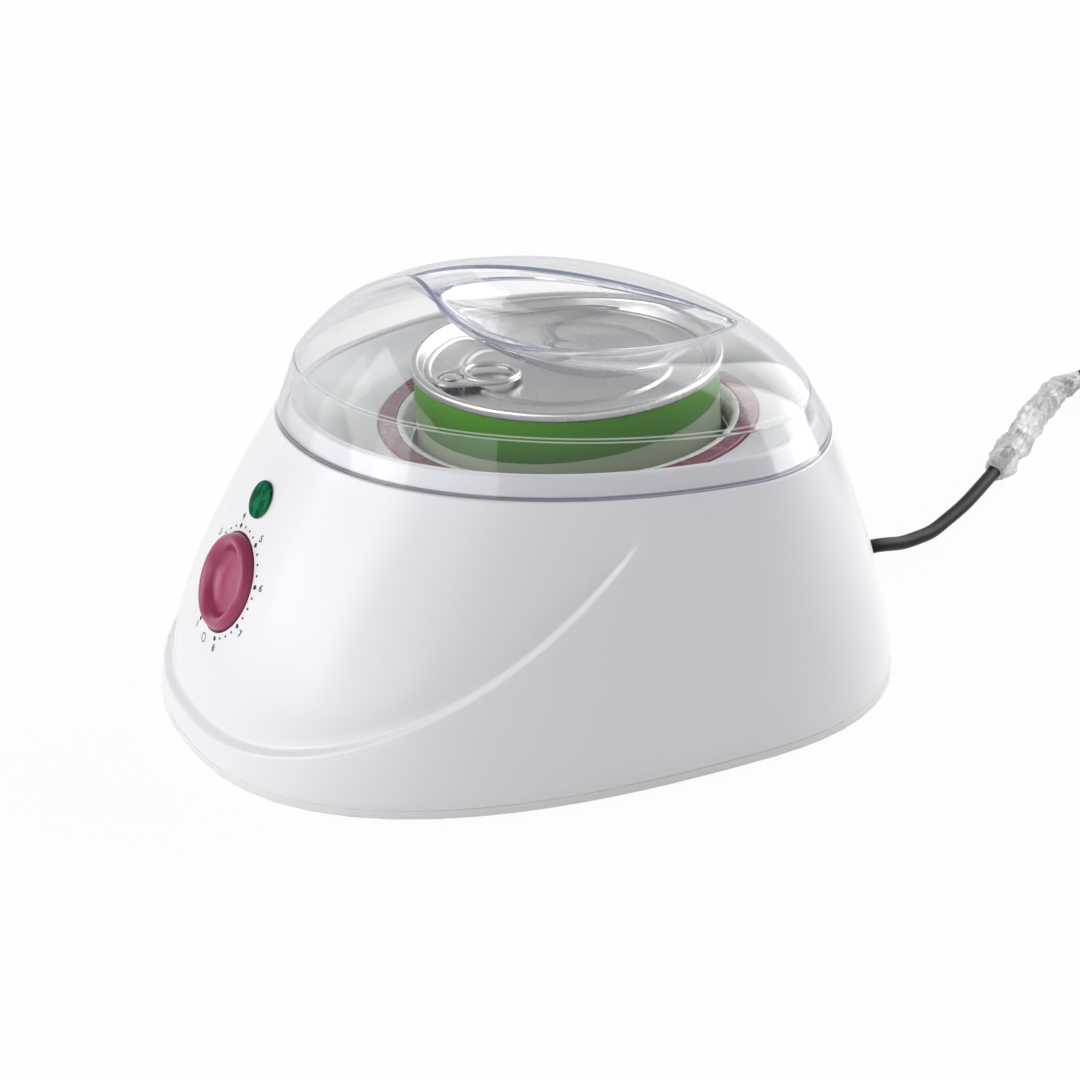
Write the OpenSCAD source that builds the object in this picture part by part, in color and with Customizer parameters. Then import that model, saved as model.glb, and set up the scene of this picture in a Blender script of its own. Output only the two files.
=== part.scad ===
// Wax warmer: a leaning oval housing with a heated pot, a removable clear lid,
// a tin of wax standing in the pot, a round dial and a pilot lamp.
// The dial faces -Y, Z is up, and the feet stand on Z = 0.

/* [Base] */
// Greatest width of the base
base_w = 203; // [196:1:212]
// Length of the base from front to back
base_l = 237; // [230:1:246]
// How far behind the middle the base is widest
base_widest = 34; // [28:1:40]
// Squareness of the base outline, where 2 is an ellipse
base_square = 2.5; // [2.2:0.1:2.8]
// Height of the rubber feet
feet_h = 2; // [1.5:0.5:5]
// Diameter of a rubber foot
feet_d = 15; // [11:1:18]
// Visible height of the bottom tray
tray_h = 2.8; // [2.4:0.2:6]
// Thickness of the tray floor
tray_floor = 2; // [1.6:0.2:2.4]

/* [Housing] */
// Wall of the housing
wall = 2.6; // [2:0.2:3.2]
// How much the side walls bow outward, where 1 is straight
wall_curve = 1.5; // [1.2:0.1:1.8]
// Width of the lid ledge outline
rim_w = 176; // [172:1:184]
// Distance the ledge lies behind the front of the base
rim_back_front = 44; // [38:1:46]
// Distance the ledge lies ahead of the back of the base
rim_fore_back = 16.5; // [13:0.5:19]
// How far behind the middle the ledge is widest
rim_widest = 42; // [36:1:48]
// Squareness of the ledge outline
rim_square = 2.1; // [2:0.1:2.3]
// Height of the ledge at the axis of the pot
rim_z = 91.2; // [88:0.2:98]
// Forward rise of the ledge in degrees
rim_tilt = 3.5; // [2:0.5:4.5]
// Height of the collar above the ledge
collar_h = 6.8; // [5:0.2:8]
// Distance from the ledge's edge to the foot of the collar
collar_in = 4.2; // [4:0.1:4.6]
// Thickness of the collar from its foot to its inner edge
collar_t = 4.6; // [4:0.2:5.6]
// Depth of the swept step at the edge of the front bib
bib_depth = 1.8; // [0.8:0.1:2.4]
// Angle from the front at which the bib's edge ends
bib_end = 67.5; // [60:0.5:75]
// Height of the bib's edge at the front, as a share of the wall
bib_low = 0.08; // [0.06:0.01:0.12]
// Height of the bib's edge at its ends, as a share of the wall
bib_high = 0.84; // [0.7:0.01:0.88]

/* [Pot and ring] */
// Depth of the ring deck below the ledge at the pot axis
deck_drop = 4; // [2:0.2:4.4]
// Narrowest strip of deck behind the ring seat
deck_strip = 2.7; // [2.4:0.1:4]
// Width of the flat band of housing around the ring
band_w = 5.9; // [4:0.1:7]
// Width of the coloured ring
ring_w = 5.6; // [4:0.2:7]
// Thickness of the coloured ring
ring_t = 2.6; // [2.2:0.2:3.4]
// Width of the white lip inside the ring
lip_w = 4.8; // [3.6:0.2:6]
// Depth of the white lip below the deck
lip_h = 8; // [6.6:0.2:12]
// Free space between tin and pot, all round
pot_gap = 2.1; // [1.5:0.1:3]
// Wall of the aluminium pot
pot_t = 1.5; // [1:0.1:2]
// Height of the heating band
heater_h = 26; // [18:1:28]

/* [Tin] */
// Diameter of the tin's body
can_d = 99; // [96:0.5:101]
// Height of the tin
can_h = 68; // [62:0.5:70]
// How far the tin stands above the ring deck
can_proud = 20.7; // [16:0.1:21]
// Sheet thickness of the tin
can_t = 0.5; // [0.4:0.1:0.8]
// Height of the tin's rolled seam
seam_h = 3; // [2.4:0.1:4]
// Width by which the seam stands out
seam_out = 1.3; // [0.8:0.1:1.6]
// Depth of the tin's end below the seam
end_drop = 4; // [3:0.2:5]
// Length of the pull tab
tab_l = 30; // [26:1:34]
// Width of the pull tab
tab_w = 20; // [16:1:22]
// Turn of the pull tab about the tin's axis
tab_turn = 4; // [0:1:10]

/* [Lid] */
// Wall of the clear lid
lid_t = 2; // [1.6:0.1:2.2]
// Height of the lid's skirt at the pot axis
skirt_h = 16; // [14:0.5:20]
// How far the skirt leans in over its height
skirt_in = 7.5; // [6.6:0.1:8]
// Forward rise of the crease above the skirt, in degrees
crease_tilt = 5.7; // [4:0.1:7]
// Fullness of the dome, where larger is rounder
dome_round = 1.8; // [1.4:0.1:2.2]
// How much rounder the dome is at the back than at the front
dome_swell = 1; // [0:0.1:1.4]
// Length of the leaf shaped hand grip
grip_l = 113.8; // [104:0.2:116]
// Width of the hand grip
grip_w = 87; // [80:1:92]
// How far the grip's rear tip lies behind the pot axis
grip_back = 61.5; // [60:0.1:63]
// Height of the grip's edge over the ledge, projected to its front
grip_rise = 41.3; // [40.4:0.2:43]
// Fall of the grip's edge from front to back
grip_fall = 24; // [23:0.2:25]

/* [Dial and lamp] */
// Diameter of the dial knob
knob_d = 32.2; // [28:0.2:34]
// How far the knob stands out of the panel
knob_h = 7; // [6:0.2:10]
// Lean of the dial's axis above level, in degrees
dial_tilt = 25; // [22:0.5:28]
// Height of the dial's centre above the table
dial_z = 55.2; // [53:0.2:57]
// Gap between knob and panel
knob_gap = 0.7; // [0.6:0.1:1.5]
// How far the knob is sunk in its well
well_d = 4.4; // [3.4:0.2:5]
// Diameter of the thermostat's shaft
shaft_d = 6; // [5:0.5:7]
// Depth of the finger dish in the knob
dish_depth = 4.6; // [3:0.2:4.8]
// Height of the pilot lamp above the table
lamp_z = 80.4; // [79:0.2:81.4]
// Diameter of the lamp's lens
lamp_d = 12.6; // [10:0.2:14]
// Lean of the lamp's axis above level, in degrees
lamp_tilt = 31; // [28:0.5:34]

/* [Cord] */
// Diameter of the power cord
cord_d = 5; // [4.6:0.1:5.4]
// Height at which the cord leaves the housing
cord_z = 11; // [10.8:0.1:13]
// Length of the strain relief outside the housing
bush_out = 16; // [14:0.5:18]
// Tightest bend of the coil, in cord diameters
coil_bend = 4.1; // [4:0.1:4.8]
// Free space between neighbouring loops
coil_gap = 0.8; // [0.6:0.1:1]
// Number of loops in the coil, an even number
coil_loops = 6; // [4:2:6]
// Length of a plug pin
pin_l = 19; // [17:0.5:20]
// Diameter of a plug pin
pin_d = 4; // [3.8:0.1:4.8]

/* [Hidden] */

cols = 72;            // columns round the lofted shells
fit = 0.3;            // free space between loose neighbours
run = 0.05;           // running clearance of a shaft
part_z = feet_h + tray_h;
front_y = -base_l / 2;
back_y = base_l / 2;
rim_front = front_y + rim_back_front;
rim_back = back_y - rim_fore_back;

// radii from the tin outward
can_r = can_d / 2;
pot_r = can_r + pot_gap;
pot_out = pot_r + pot_t;
ring_in = pot_r + lip_w + 0.2;
ring_out = ring_in + ring_w;
seat_r = ring_out + 0.3 + band_w;
hole_r = ring_in + 1;
collar_edge = collar_in + collar_t;
can_y = rim_back - collar_edge - deck_strip - seat_r;

// heights
deck_z = rim_z - deck_drop;
ring_z = deck_z - 1.8;
can_top = deck_z + can_proud;
can_z = can_top - can_h;
pot_floor = can_z - 0.2;
flange_z = deck_z - lip_h;
panel_z = can_top - end_drop;

// ---- outlines ------------------------------------------------------------
function rad(a) = [sin(a), -cos(a)];
// oval with its own widest place; angle 0 is the front
function oval(a, hw, f, b, m, n) =
    let (l = cos(a) > 0 ? m - f : b - m,
         r = pow(pow(abs(cos(a)) / l, n) + pow(abs(sin(a)) / hw, n), -1 / n))
    [r * sin(a), m - r * cos(a)];
function base_pt(a, inset = 0) =
    oval(a, base_w / 2, front_y, back_y, base_widest, base_square) - rad(a) * inset;
function ledge_z(y) = rim_z - tan(rim_tilt) * (y - can_y);
function rim_pt(a, inset = 0, up = 0) =
    let (p = oval(a, rim_w / 2, rim_front, rim_back, rim_widest, rim_square),
         q = p - rad(a) * inset)
    [q.x, q.y, ledge_z(q.y) + up];
function ring_pt(a, r, z) = [r * sin(a), can_y - r * cos(a), z];
function mix(p, q, k) = p + (q - p) * k;

// ---- outer wall ----------------------------------------------------------
function side(a) = min(a, 360 - a);
function bib_s(a) =
    let (t = min(1, (1 - cos(side(a))) / (1 - cos(bib_end))))
    bib_low + (bib_high - bib_low) * pow(t, 1.17);
function bib_fade(a) = 1 - pow(min(1, side(a) / bib_end), 3);
function bib_in(a, s) =
    let (c = bib_s(a))
    s <= c ? 0 : bib_depth * bib_fade(a) * (1 - (s - c) / (1 - c));
function wall_pt(a, s, inset = 0) =
    let (b = base_pt(a), r = rim_pt(a), g = pow(s, wall_curve),
         q = mix(b, [r.x, r.y], g) - rad(a) * (inset + bib_in(a, s)))
    [q.x, q.y, part_z + (r.z - part_z) * s];
step_s = 0.024;
function wall_rows(a) =
    let (c = bib_s(a), e = c + step_s)
    concat([for (k = [0, 0.3, 0.55, 0.78, 0.94, 1]) c * k],
           [for (k = [0, 0.06, 0.22, 0.42, 0.62, 0.82, 1]) e + (1 - e) * k]);

// where the front panel lies on the middle line at a given height
function panel_y(z) =
    let (top = ledge_z(rim_front), s = (z - part_z) / (top - part_z))
    wall_pt(0, s).y;

// ---- lofts ---------------------------------------------------------------
// a ring shaped shell: every row closes round, and the last row meets the first
module ring_loft(rows) {
    n = len(rows);
    m = len(rows[0]);
    polyhedron(
        points = [for (r = rows, p = r) p],
        faces = [for (i = [0:n - 1], j = [0:m - 1])
                 let (u = ((i + 1) % n) * m, v = i * m, k = (j + 1) % m)
                 each [[v + j, u + k, v + k], [v + j, u + j, u + k]]],
        convexity = 8);
}
// a cup shaped shell: rows run from one pole to the other
module cup_loft(pole_a, rows, pole_b) {
    n = len(rows);
    m = len(rows[0]);
    last = n * m + 1;
    polyhedron(
        points = concat([pole_a], [for (r = rows, p = r) p], [pole_b]),
        faces = concat(
            [for (j = [0:m - 1]) [0, 1 + (j + 1) % m, 1 + j]],
            [for (i = [0:n - 2], j = [0:m - 1])
             let (v = 1 + i * m, u = v + m, k = (j + 1) % m)
             each [[v + j, u + k, u + j], [v + j, v + k, u + k]]],
            [for (j = [0:m - 1])
             [last, 1 + (n - 1) * m + j, 1 + (n - 1) * m + (j + 1) % m]]),
        convexity = 8);
}

// ---- round things laid along a route --------------------------------------
function unit(v) = v / norm(v);
// smooth line through hand placed points
function bend(p, n) = [
    for (i = [0:len(p) - 2], k = [0:n - 1])
    let (a = p[max(i - 1, 0)], b = p[i], c = p[i + 1], d = p[min(i + 2, len(p) - 1)],
         t = k / n)
    0.5 * (2 * b + (c - a) * t + (2 * a - 5 * b + 4 * c - d) * t * t
           + (3 * b - a - 3 * c + d) * t * t * t),
    p[len(p) - 1]];
function along(p, i) = unit(p[min(i + 1, len(p) - 1)] - p[max(i - 1, 0)]);
function tube_ring(c, t, up, r, n) =
    let (x = unit(cross(up, t)), y = cross(t, x))
    [for (k = [0:n - 1]) c + r * (cos(360 * (k + 0.5) / n) * x
                                  + sin(360 * (k + 0.5) / n) * y)];
module tube(path, r, n = 8, up = [0, 0, 1]) {
    l = len(path);
    last = l * n + 1;
    polyhedron(
        points = concat([path[0]],
            [for (i = [0:l - 1], q = tube_ring(path[i], along(path, i), up, r, n)) q],
            [path[l - 1]]),
        faces = concat(
            [for (j = [0:n - 1]) [0, 1 + j, 1 + (j + 1) % n]],
            [for (i = [0:l - 2], j = [0:n - 1])
             let (v = 1 + i * n, u = v + n, k = (j + 1) % n)
             each [[v + j, u + j, u + k], [v + j, u + k, v + k]]],
            [for (j = [0:n - 1])
             [last, 1 + (l - 1) * n + (j + 1) % n, 1 + (l - 1) * n + j]]),
        convexity = 6);
}
module turned(y, z, tilt) {
    // a local frame whose Z points out of the front panel
    translate([0, y, z]) rotate([90 - tilt, 0, 0]) children();
}

// ---- housing -------------------------------------------------------------
boss_angles = [60, 120, 240, 300];
boss_at = [for (a = boss_angles) base_pt(a, 14)];
boss_d = 9;
boss_top = 38;
module boss_web(a) {
    // upright web from a screw post out to the middle of the wall
    at = function (p) norm([p.x, p.y - base_widest]);
    e = (boss_top - part_z) / (rim_z - part_z);
    edge = [for (k = [0.16, 0.35, 0.55, 0.75, 0.98]) wall_pt(a, k * e, wall / 2)];
    r = at(base_pt(a, 14));
    translate([0, base_widest, 0]) rotate([90, 0, a - 90]) translate([0, 0, -1])
        linear_extrude(2)
        polygon(concat([[r, boss_top], [r, part_z + 5]], [for (p = edge) [at(p), p.z]]));
}
module housing_shell() {
    ang = [for (j = [0:cols - 1]) 360 * j / cols];
    ns = len(wall_rows(0));
    ce = collar_edge;
    outer = [for (i = [0:ns - 1]) [for (a = ang) wall_pt(a, wall_rows(a)[i])]];
    top = [
        [for (a = ang) rim_pt(a, 0.5, 0.35)],
        [for (a = ang) rim_pt(a, collar_in, 0.35)],
        [for (a = ang) rim_pt(a, collar_in + 1.9, collar_h - 1)],
        [for (a = ang) rim_pt(a, collar_in + 2.7, collar_h)],
        [for (a = ang) rim_pt(a, ce - 0.8, collar_h)],
        [for (a = ang) rim_pt(a, ce, collar_h - 0.8)],
        for (k = [0.18, 0.42, 0.7])
        [for (a = ang)
         let (p = rim_pt(a, ce, collar_h - 0.8), q = ring_pt(a, seat_r, deck_z),
              h = mix(p, q, k))
         [h.x, h.y, deck_z + (p.z - deck_z) * pow(1 - k, 2.1)]],
        [for (a = ang) ring_pt(a, seat_r, deck_z)],
        [for (a = ang) ring_pt(a, ring_out + 0.3, deck_z)],
        [for (a = ang) ring_pt(a, ring_out + 0.3, ring_z)],
        [for (a = ang) ring_pt(a, hole_r, ring_z)]];
    under = [
        [for (a = ang) ring_pt(a, hole_r, ring_z - wall)],
        [for (a = ang) ring_pt(a, seat_r, ring_z - wall)],
        [for (a = ang)
         let (p = rim_pt(a, ce, collar_h - 0.8), q = ring_pt(a, seat_r, deck_z),
              h = mix(p, q, 0.42))
         [h.x, h.y, deck_z + (p.z - deck_z) * pow(0.58, 2.1) - wall * 1.15]],
        [for (a = ang) rim_pt(a, collar_in + wall * 1.5, -wall + 1)],
        [for (a = ang) rim_pt(a, wall + 0.6, -wall)]];
    inner = [for (k = [0.85, 0.62, 0.42, 0.24, 0.1, 0])
             [for (a = ang) wall_pt(a, k, wall + bib_depth * bib_fade(a)
                                    * (1 - k) - bib_in(a, k))]];
    ring_loft(concat(outer, top, under, inner));
}
// cup behind the panel that the knob's well is cut in; its edge ends inside the panel, which
// falls away from its middle line to both sides
well_r = knob_d / 2 + 0.6;
panel_fall = let (p = wall_pt(14, 0.58), y0 = wall_pt(0, 0.58).y)
    (p.y - y0) * cos(dial_tilt) / (p.x * p.x);
module dial_cup() {
    r = well_r + 2.2;
    ang = [for (i = [0:71]) i * 5];
    cup_loft([0, 0, well_d - wall * 0.6],
             [[for (a = ang) [r * sin(a), -r * cos(a),
                              well_d - wall * 0.6 - panel_fall * pow(r * sin(a), 2)]],
              [for (a = ang) [r * sin(a), -r * cos(a), -wall]]],
             [0, 0, -wall]);
}
module housing() {
    color("white") difference() {
        union() {
            housing_shell();
            for (p = boss_at) translate([p.x, p.y, part_z])
                cylinder(d = boss_d, h = boss_top - part_z, $fn = 32);
            for (a = boss_angles) boss_web(a);
            dial_frame() dial_cup();
        }
        for (p = boss_at) translate([p.x, p.y, part_z - 1])
            cylinder(d = screw_d + 0.2, h = 16, $fn = 24);
        dial_frame() {
            cylinder(r = well_r, h = 30, $fn = 72);
            translate([0, 0, -14]) cylinder(d = hub_d + 1, h = 28, $fn = 40);
            for (x = [-10.5, 10.5]) translate([x, 0, 0]) {
                translate([0, 0, -14]) cylinder(d = 3.3, h = 20, $fn = 24);
                translate([0, 0, -0.7]) cylinder(d = 5.4, h = 6, $fn = 32);
            }
        }
        turned(panel_y(lamp_z), lamp_z, lamp_tilt)
            translate([0, 0, -14]) cylinder(d = lamp_d - 1.6, h = 28, $fn = 40);
        translate([0, back_y - 12, cord_z]) rotate([-90, 0, 0])
            cylinder(d = bush_neck + 0.2, h = 24, $fn = 40);
    }
}
screw_d = 3;
hub_d = shaft_d + 3;
bush_neck = cord_d + 4;

// ---- bottom tray, feet and screws ------------------------------------------
foot_at = [[58, -66], [64, 84], [-58, -66], [-64, 84]];
stand_r = 42;
// a point at the height z, so far outside the pot's stand and so far round it
function by_stand(a, out, z) =
    [(stand_r + out) * cos(a), can_y + (stand_r + out) * sin(a), z];
module base_plate() {
    edge = [for (j = [0:cols - 1]) base_pt(360 * j / cols)];
    lip_o = [for (j = [0:cols - 1]) base_pt(360 * j / cols, wall + bib_depth + 0.6)];
    lip_i = [for (j = [0:cols - 1]) base_pt(360 * j / cols, wall + bib_depth + 2.4)];
    color("whitesmoke") difference() {
        union() {
            translate([0, 0, feet_h]) linear_extrude(tray_h - 0.02) polygon(edge);
            translate([0, 0, feet_h]) linear_extrude(tray_h + 3.4) difference() {
                polygon(lip_o);
                polygon(lip_i);
                translate([0, back_y]) square([22, 30], center = true);
            }
            // saddle that the cord is clamped on
            translate([-15, clamp_y - 5, feet_h + 1]) cube([30, 10, cord_z - feet_h - 1.1]);
            // low ribs that stiffen the floor and ring the pot stand
            translate([0, can_y, part_z - 0.4]) difference() {
                cylinder(r = stand_r + 4, h = 3, $fn = 72);
                translate([0, 0, -1]) cylinder(r = stand_r + 2.4, h = 5, $fn = 72);
            }
        }
        // hollow of the tray above its floor
        translate([0, 0, feet_h + tray_floor]) linear_extrude(tray_h) difference() {
            polygon([for (j = [0:cols - 1])
                     base_pt(360 * j / cols, wall + bib_depth + 2.4)]);
            for (p = boss_at) translate(p) circle(d = boss_d + 4, $fn = 32);
            translate([0, can_y]) circle(r = stand_r + 4, $fn = 72);
            translate([0, clamp_y]) square([34, 18], center = true);
            translate(term) square([30, 20], center = true);
        }
        for (p = boss_at) translate([p.x, p.y, 0]) {
            cylinder(d = screw_d + 0.6, h = 20, $fn = 24);
            cylinder(d = head_d + 0.8, h = feet_h + 1.6, $fn = 32);
        }
        for (p = foot_at) translate([p.x, p.y, 0])
            cylinder(d = 5.2, h = 20, $fn = 24);
        // cooling slots under the pot
        for (i = [-3:3]) translate([0, can_y + i * 9, 0])
            slot_block(2 * sqrt(pow(stand_r - 8, 2) - pow(i * 9, 2)), 3);
        // bore and screw holes of the cord's saddle
        translate([0, clamp_y - 9, cord_z]) rotate([-90, 0, 0])
            cylinder(d = cord_d + 0.2, h = 18, $fn = 40);
        for (x = [-11, 11]) translate([x, clamp_y, feet_h + 1])
            cylinder(d = 2.4, h = 20, $fn = 24);
    }
}
module slot_block(l, w) {
    translate([-l / 2, -w / 2, -1]) cube([l, w, 20]);
}
head_d = 6;
module base_feet() {
    color("dimgray") for (p = foot_at) translate([p.x, p.y, 0]) {
        cylinder(d1 = feet_d - 1.2, d2 = feet_d, h = feet_h, $fn = 48);
        translate([0, 0, feet_h - 0.01]) cylinder(d = 5, h = tray_floor + 0.8, $fn = 24);
    }
}
module base_screws() {
    color("silver") for (p = boss_at) translate([p.x, p.y, feet_h + 0.2]) difference() {
        union() {
            cylinder(d = head_d, h = 1.4, $fn = 32);
            cylinder(d = screw_d, h = 15, $fn = 24);
        }
        for (t = [0, 90]) rotate(t) translate([-1.9, -0.35, -1]) cube([3.8, 0.7, 1.8]);
    }
}

// ---- pot, ring and heater ----------------------------------------------------
module pot_at() { translate([0, can_y, 0]) children(); }
module pot_ring() {
    color("palevioletred") pot_at() rotate_extrude($fn = 144)
        polygon([[ring_in, ring_z], [ring_out, ring_z], [ring_out, ring_z + ring_t - 0.9],
                 [ring_out - 0.9, ring_z + ring_t], [ring_in + 0.9, ring_z + ring_t],
                 [ring_in, ring_z + ring_t - 0.7]]);
}
module pot_lip() {
    // funnel that hides the pot's flange and guides the tin
    color("white") pot_at() rotate_extrude($fn = 144)
        polygon([[pot_r + 0.6, flange_z], [ring_in - 0.2, flange_z],
                 [ring_in - 0.2, ring_z + ring_t - 1.2], [ring_in - 1.2, ring_z + ring_t - 0.2],
                 [ring_in - 2.2, ring_z + ring_t - 0.6], [pot_r + 1, deck_z - 3.4],
                 [pot_r + 0.6, deck_z - 4.6]]);
}
module pot_gasket() {
    color("gainsboro") pot_at() rotate_extrude($fn = 144)
        polygon([[ring_in, ring_z - wall - 1.6], [seat_r - 3, ring_z - wall - 1.6],
                 [seat_r - 3, ring_z - wall], [hole_r - 0.2, ring_z - wall],
                 [hole_r - 0.2, ring_z - 0.4], [ring_in, ring_z - 0.4]]);
}
module heating_pot() {
    f = pot_floor - pot_t;
    color("silver") pot_at() rotate_extrude($fn = 144)
        polygon([[0, f], [pot_out - 2.4, f], [pot_out - 0.7, f + 0.7], [pot_out, f + 2.4],
                 [pot_out, flange_z - 1.6], [ring_in - 0.2, flange_z - 1.6],
                 [ring_in - 0.2, flange_z], [pot_r, flange_z], [pot_r, f + pot_t + 1.8],
                 [pot_r - 1.8, f + pot_t], [0, f + pot_t]]);
}
heater_z = pot_floor + 6;
module heater_band() {
    // two mica sheets with the wire between, open at the clamp
    color("peru") pot_at() translate([0, 0, heater_z]) difference() {
        cylinder(r = pot_out + 1.9, h = heater_h, $fn = 144);
        translate([0, 0, -1]) cylinder(r = pot_out + 0.1, h = heater_h + 2, $fn = 144);
        rotate(-135) translate([0, -4, -1]) cube([80, 8, heater_h + 2]);
    }
}
module band_clamp() {
    // steel strap with two ears and a screw across the gap
    color("silver") pot_at() translate([0, 0, heater_z + heater_h / 2 - 5]) {
        difference() {
            cylinder(r = pot_out + 2.7, h = 10, $fn = 144);
            translate([0, 0, -1]) cylinder(r = pot_out + 2, h = 12, $fn = 144);
            rotate(-135) translate([0, -4, -1]) cube([80, 8, 12]);
        }
        rotate(-135) {
            for (s = [-1, 1]) translate([pot_out + 2.2, s * 4.4 - 0.4, 0]) cube([8, 0.8, 10]);
            translate([pot_out + 6.4, 0, 5]) rotate([90, 0, 0])
                cylinder(d = 3, h = 14, center = true, $fn = 24);
        }
    }
}
module thermal_fuse() {
    color("gold") pot_at() rotate(-160) translate([pot_out + 5, 0, heater_z + 4]) {
        cylinder(d = 4, h = 11, $fn = 24);
        translate([0, 0, -5]) cylinder(d = 0.9, h = 21, $fn = 16);
    }
}
module pot_support() {
    // ring of sheet steel with wide windows that carries the pot's floor
    color("lightgray") pot_at() difference() {
        translate([0, 0, part_z]) cylinder(r = stand_r, h = pot_floor - pot_t - part_z - 0.2,
                                           $fn = 96);
        translate([0, 0, part_z - 2]) cylinder(r = stand_r - 1.2, h = 60, $fn = 96);
        for (t = [0, 60, 120]) rotate(t) translate([-60, -11, part_z + 6])
            cube([120, 22, pot_floor - pot_t - part_z - 14]);
    }
}

// ---- thermostat, shaft and knob ----------------------------------------------
// depths are measured inward from the floor of the well that the knob sits in
module dial_frame() {
    turned(panel_y(dial_z), dial_z, dial_tilt) translate([0, 0, -well_d]) children();
}
function dial_pt(x, y, z) =
    [x, panel_y(dial_z) + y * sin(dial_tilt) - (z - well_d) * cos(dial_tilt),
     dial_z + y * cos(dial_tilt) + (z - well_d) * sin(dial_tilt)];
body_in = wall + 3.4;
body_deep = 17;
shaft_top = knob_h - dish_depth - 1.2;
module thermostat() {
    color("burlywood") dial_frame() difference() {
        union() {
            translate([-15, -17, -body_in - body_deep]) cube([30, 34, body_deep]);
            // spacers behind the panel, and three blade terminals
            for (x = [-10.5, 10.5]) translate([x, 0, -body_in - 0.01])
                cylinder(d = 6, h = 2.5, $fn = 32);
            for (x = [-9, 0, 9]) translate([x - 3, -23, -body_in - 12]) cube([6, 7, 0.8]);
        }
        translate([0, 0, -body_in - 8]) cylinder(d = shaft_d + 2 * run, h = 40, $fn = 48);
        for (x = [-10.5, 10.5]) translate([x, 0, -body_in - 5])
            cylinder(d = 3.1, h = 9, $fn = 24);
    }
}
module thermostat_screws() {
    color("silver") dial_frame() for (x = [-10.5, 10.5]) translate([x, 0, 0]) difference() {
        union() {
            translate([0, 0, -0.68]) cylinder(d = 5, h = 1.5, $fn = 32);
            translate([0, 0, -body_in - 4.6]) cylinder(d = 3, h = body_in + 4.6, $fn = 24);
        }
        translate([-3, -0.35, 0.1]) cube([6, 0.7, 2]);
    }
}
module thermostat_shaft() {
    color("gainsboro") dial_frame() difference() {
        translate([0, 0, -body_in - 7.8])
            cylinder(d = shaft_d, h = body_in + 7.8 + shaft_top, $fn = 48);
        translate([shaft_d / 2 - 1.2, -5, -wall]) cube([4, 10, 20]);
    }
}
module knob() {
    r = knob_d / 2;
    h = knob_h;
    g = knob_gap;
    color("palevioletred") dial_frame() difference() {
        // hollow underside with a hub that reaches through the panel, then the rim and dish
        rotate_extrude($fn = 120)
            polygon(concat(
                [[0, -wall], [hub_d / 2, -wall], [hub_d / 2, g + 0.5], [r - 2.2, g + 0.5],
                 [r - 1.7, g], [r - 0.3, g], [r, g + 0.5], [r, g + 1.6]],
                [for (t = [12:12:90]) [r - 2.4 + 2.4 * cos(t), h - 4.2 + 4.2 * sin(t)]],
                [[r - 3.3, h - 0.2], [r - 4, h - 0.7], [r - 4.9, h - 1.7],
                 [r - 5.8, h - dish_depth + 1.2], [r - 7, h - dish_depth + 0.4],
                 [r - 9, h - dish_depth], [0, h - dish_depth]]));
        difference() {
            translate([0, 0, -wall - 1]) cylinder(d = shaft_d + 0.06, h = wall + 1.1 + shaft_top,
                                                  $fn = 48);
            translate([shaft_d / 2 - 1.15, -5, -wall - 1]) cube([4, 10, 20]);
        }
    }
}
module sensor_bulb() {
    color("darkgoldenrod") pot_at() rotate(-90 + 32) translate([pot_out + 5.4, 0, heater_z - 1])
        cylinder(d = 5, h = 30, $fn = 24);
}
bulb_x = (pot_out + 5.4) * sin(32);
bulb_y = can_y - (pot_out + 5.4) * cos(32);
module capillary_tube() {
    back = -body_in - body_deep;
    toward = function (k) mix(dial_pt(6, 8, back - 6), [bulb_x, bulb_y, heater_z - 1], k);
    route = [dial_pt(6, 8, back - 0.1), dial_pt(6, 8, back - 6),
             toward(0.22) - [0, 0, 5], toward(0.44) - [-1, 0, 12], toward(0.68) - [-1, 0, 17],
             [bulb_x, bulb_y - 6, heater_z - 20.7],
             [bulb_x, bulb_y, heater_z - 12.7], [bulb_x, bulb_y, heater_z - 1.1]];
    color("darkgoldenrod") tube(bend(route, 3), 0.9, 6, [1, 0, 0]);
}

// ---- pilot lamp ----------------------------------------------------------------
module lamp_frame() { turned(panel_y(lamp_z), lamp_z, lamp_tilt) children(); }
module lamp_lens() {
    r = lamp_d / 2;
    color("seagreen") lamp_frame() rotate_extrude($fn = 64)
        polygon(concat([[0, -3.4], [r - 2.2, -3.4], [r - 2.2, -0.2], [r - 1, 0.5], [r, 0.5], [r, 0.8]],
                       [for (t = [15:15:90]) [r * cos(t), 0.8 + 1.2 * sin(t)]]));
}
module lamp_body() {
    r = lamp_d / 2;
    color("black") lamp_frame() difference() {
        union() {
            translate([0, 0, -20]) cylinder(r = r - 1.6, h = 13.6, $fn = 40);
            translate([0, 0, -6.4]) cylinder(r = r - 1, h = 1.4, $fn = 40);
            translate([0, 0, -5]) cylinder(r = r - 1.1, h = 3, $fn = 40);
        }
        translate([0, 0, -3.4]) cylinder(r = r - 2.1, h = 6, $fn = 40);
    }
}

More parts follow.
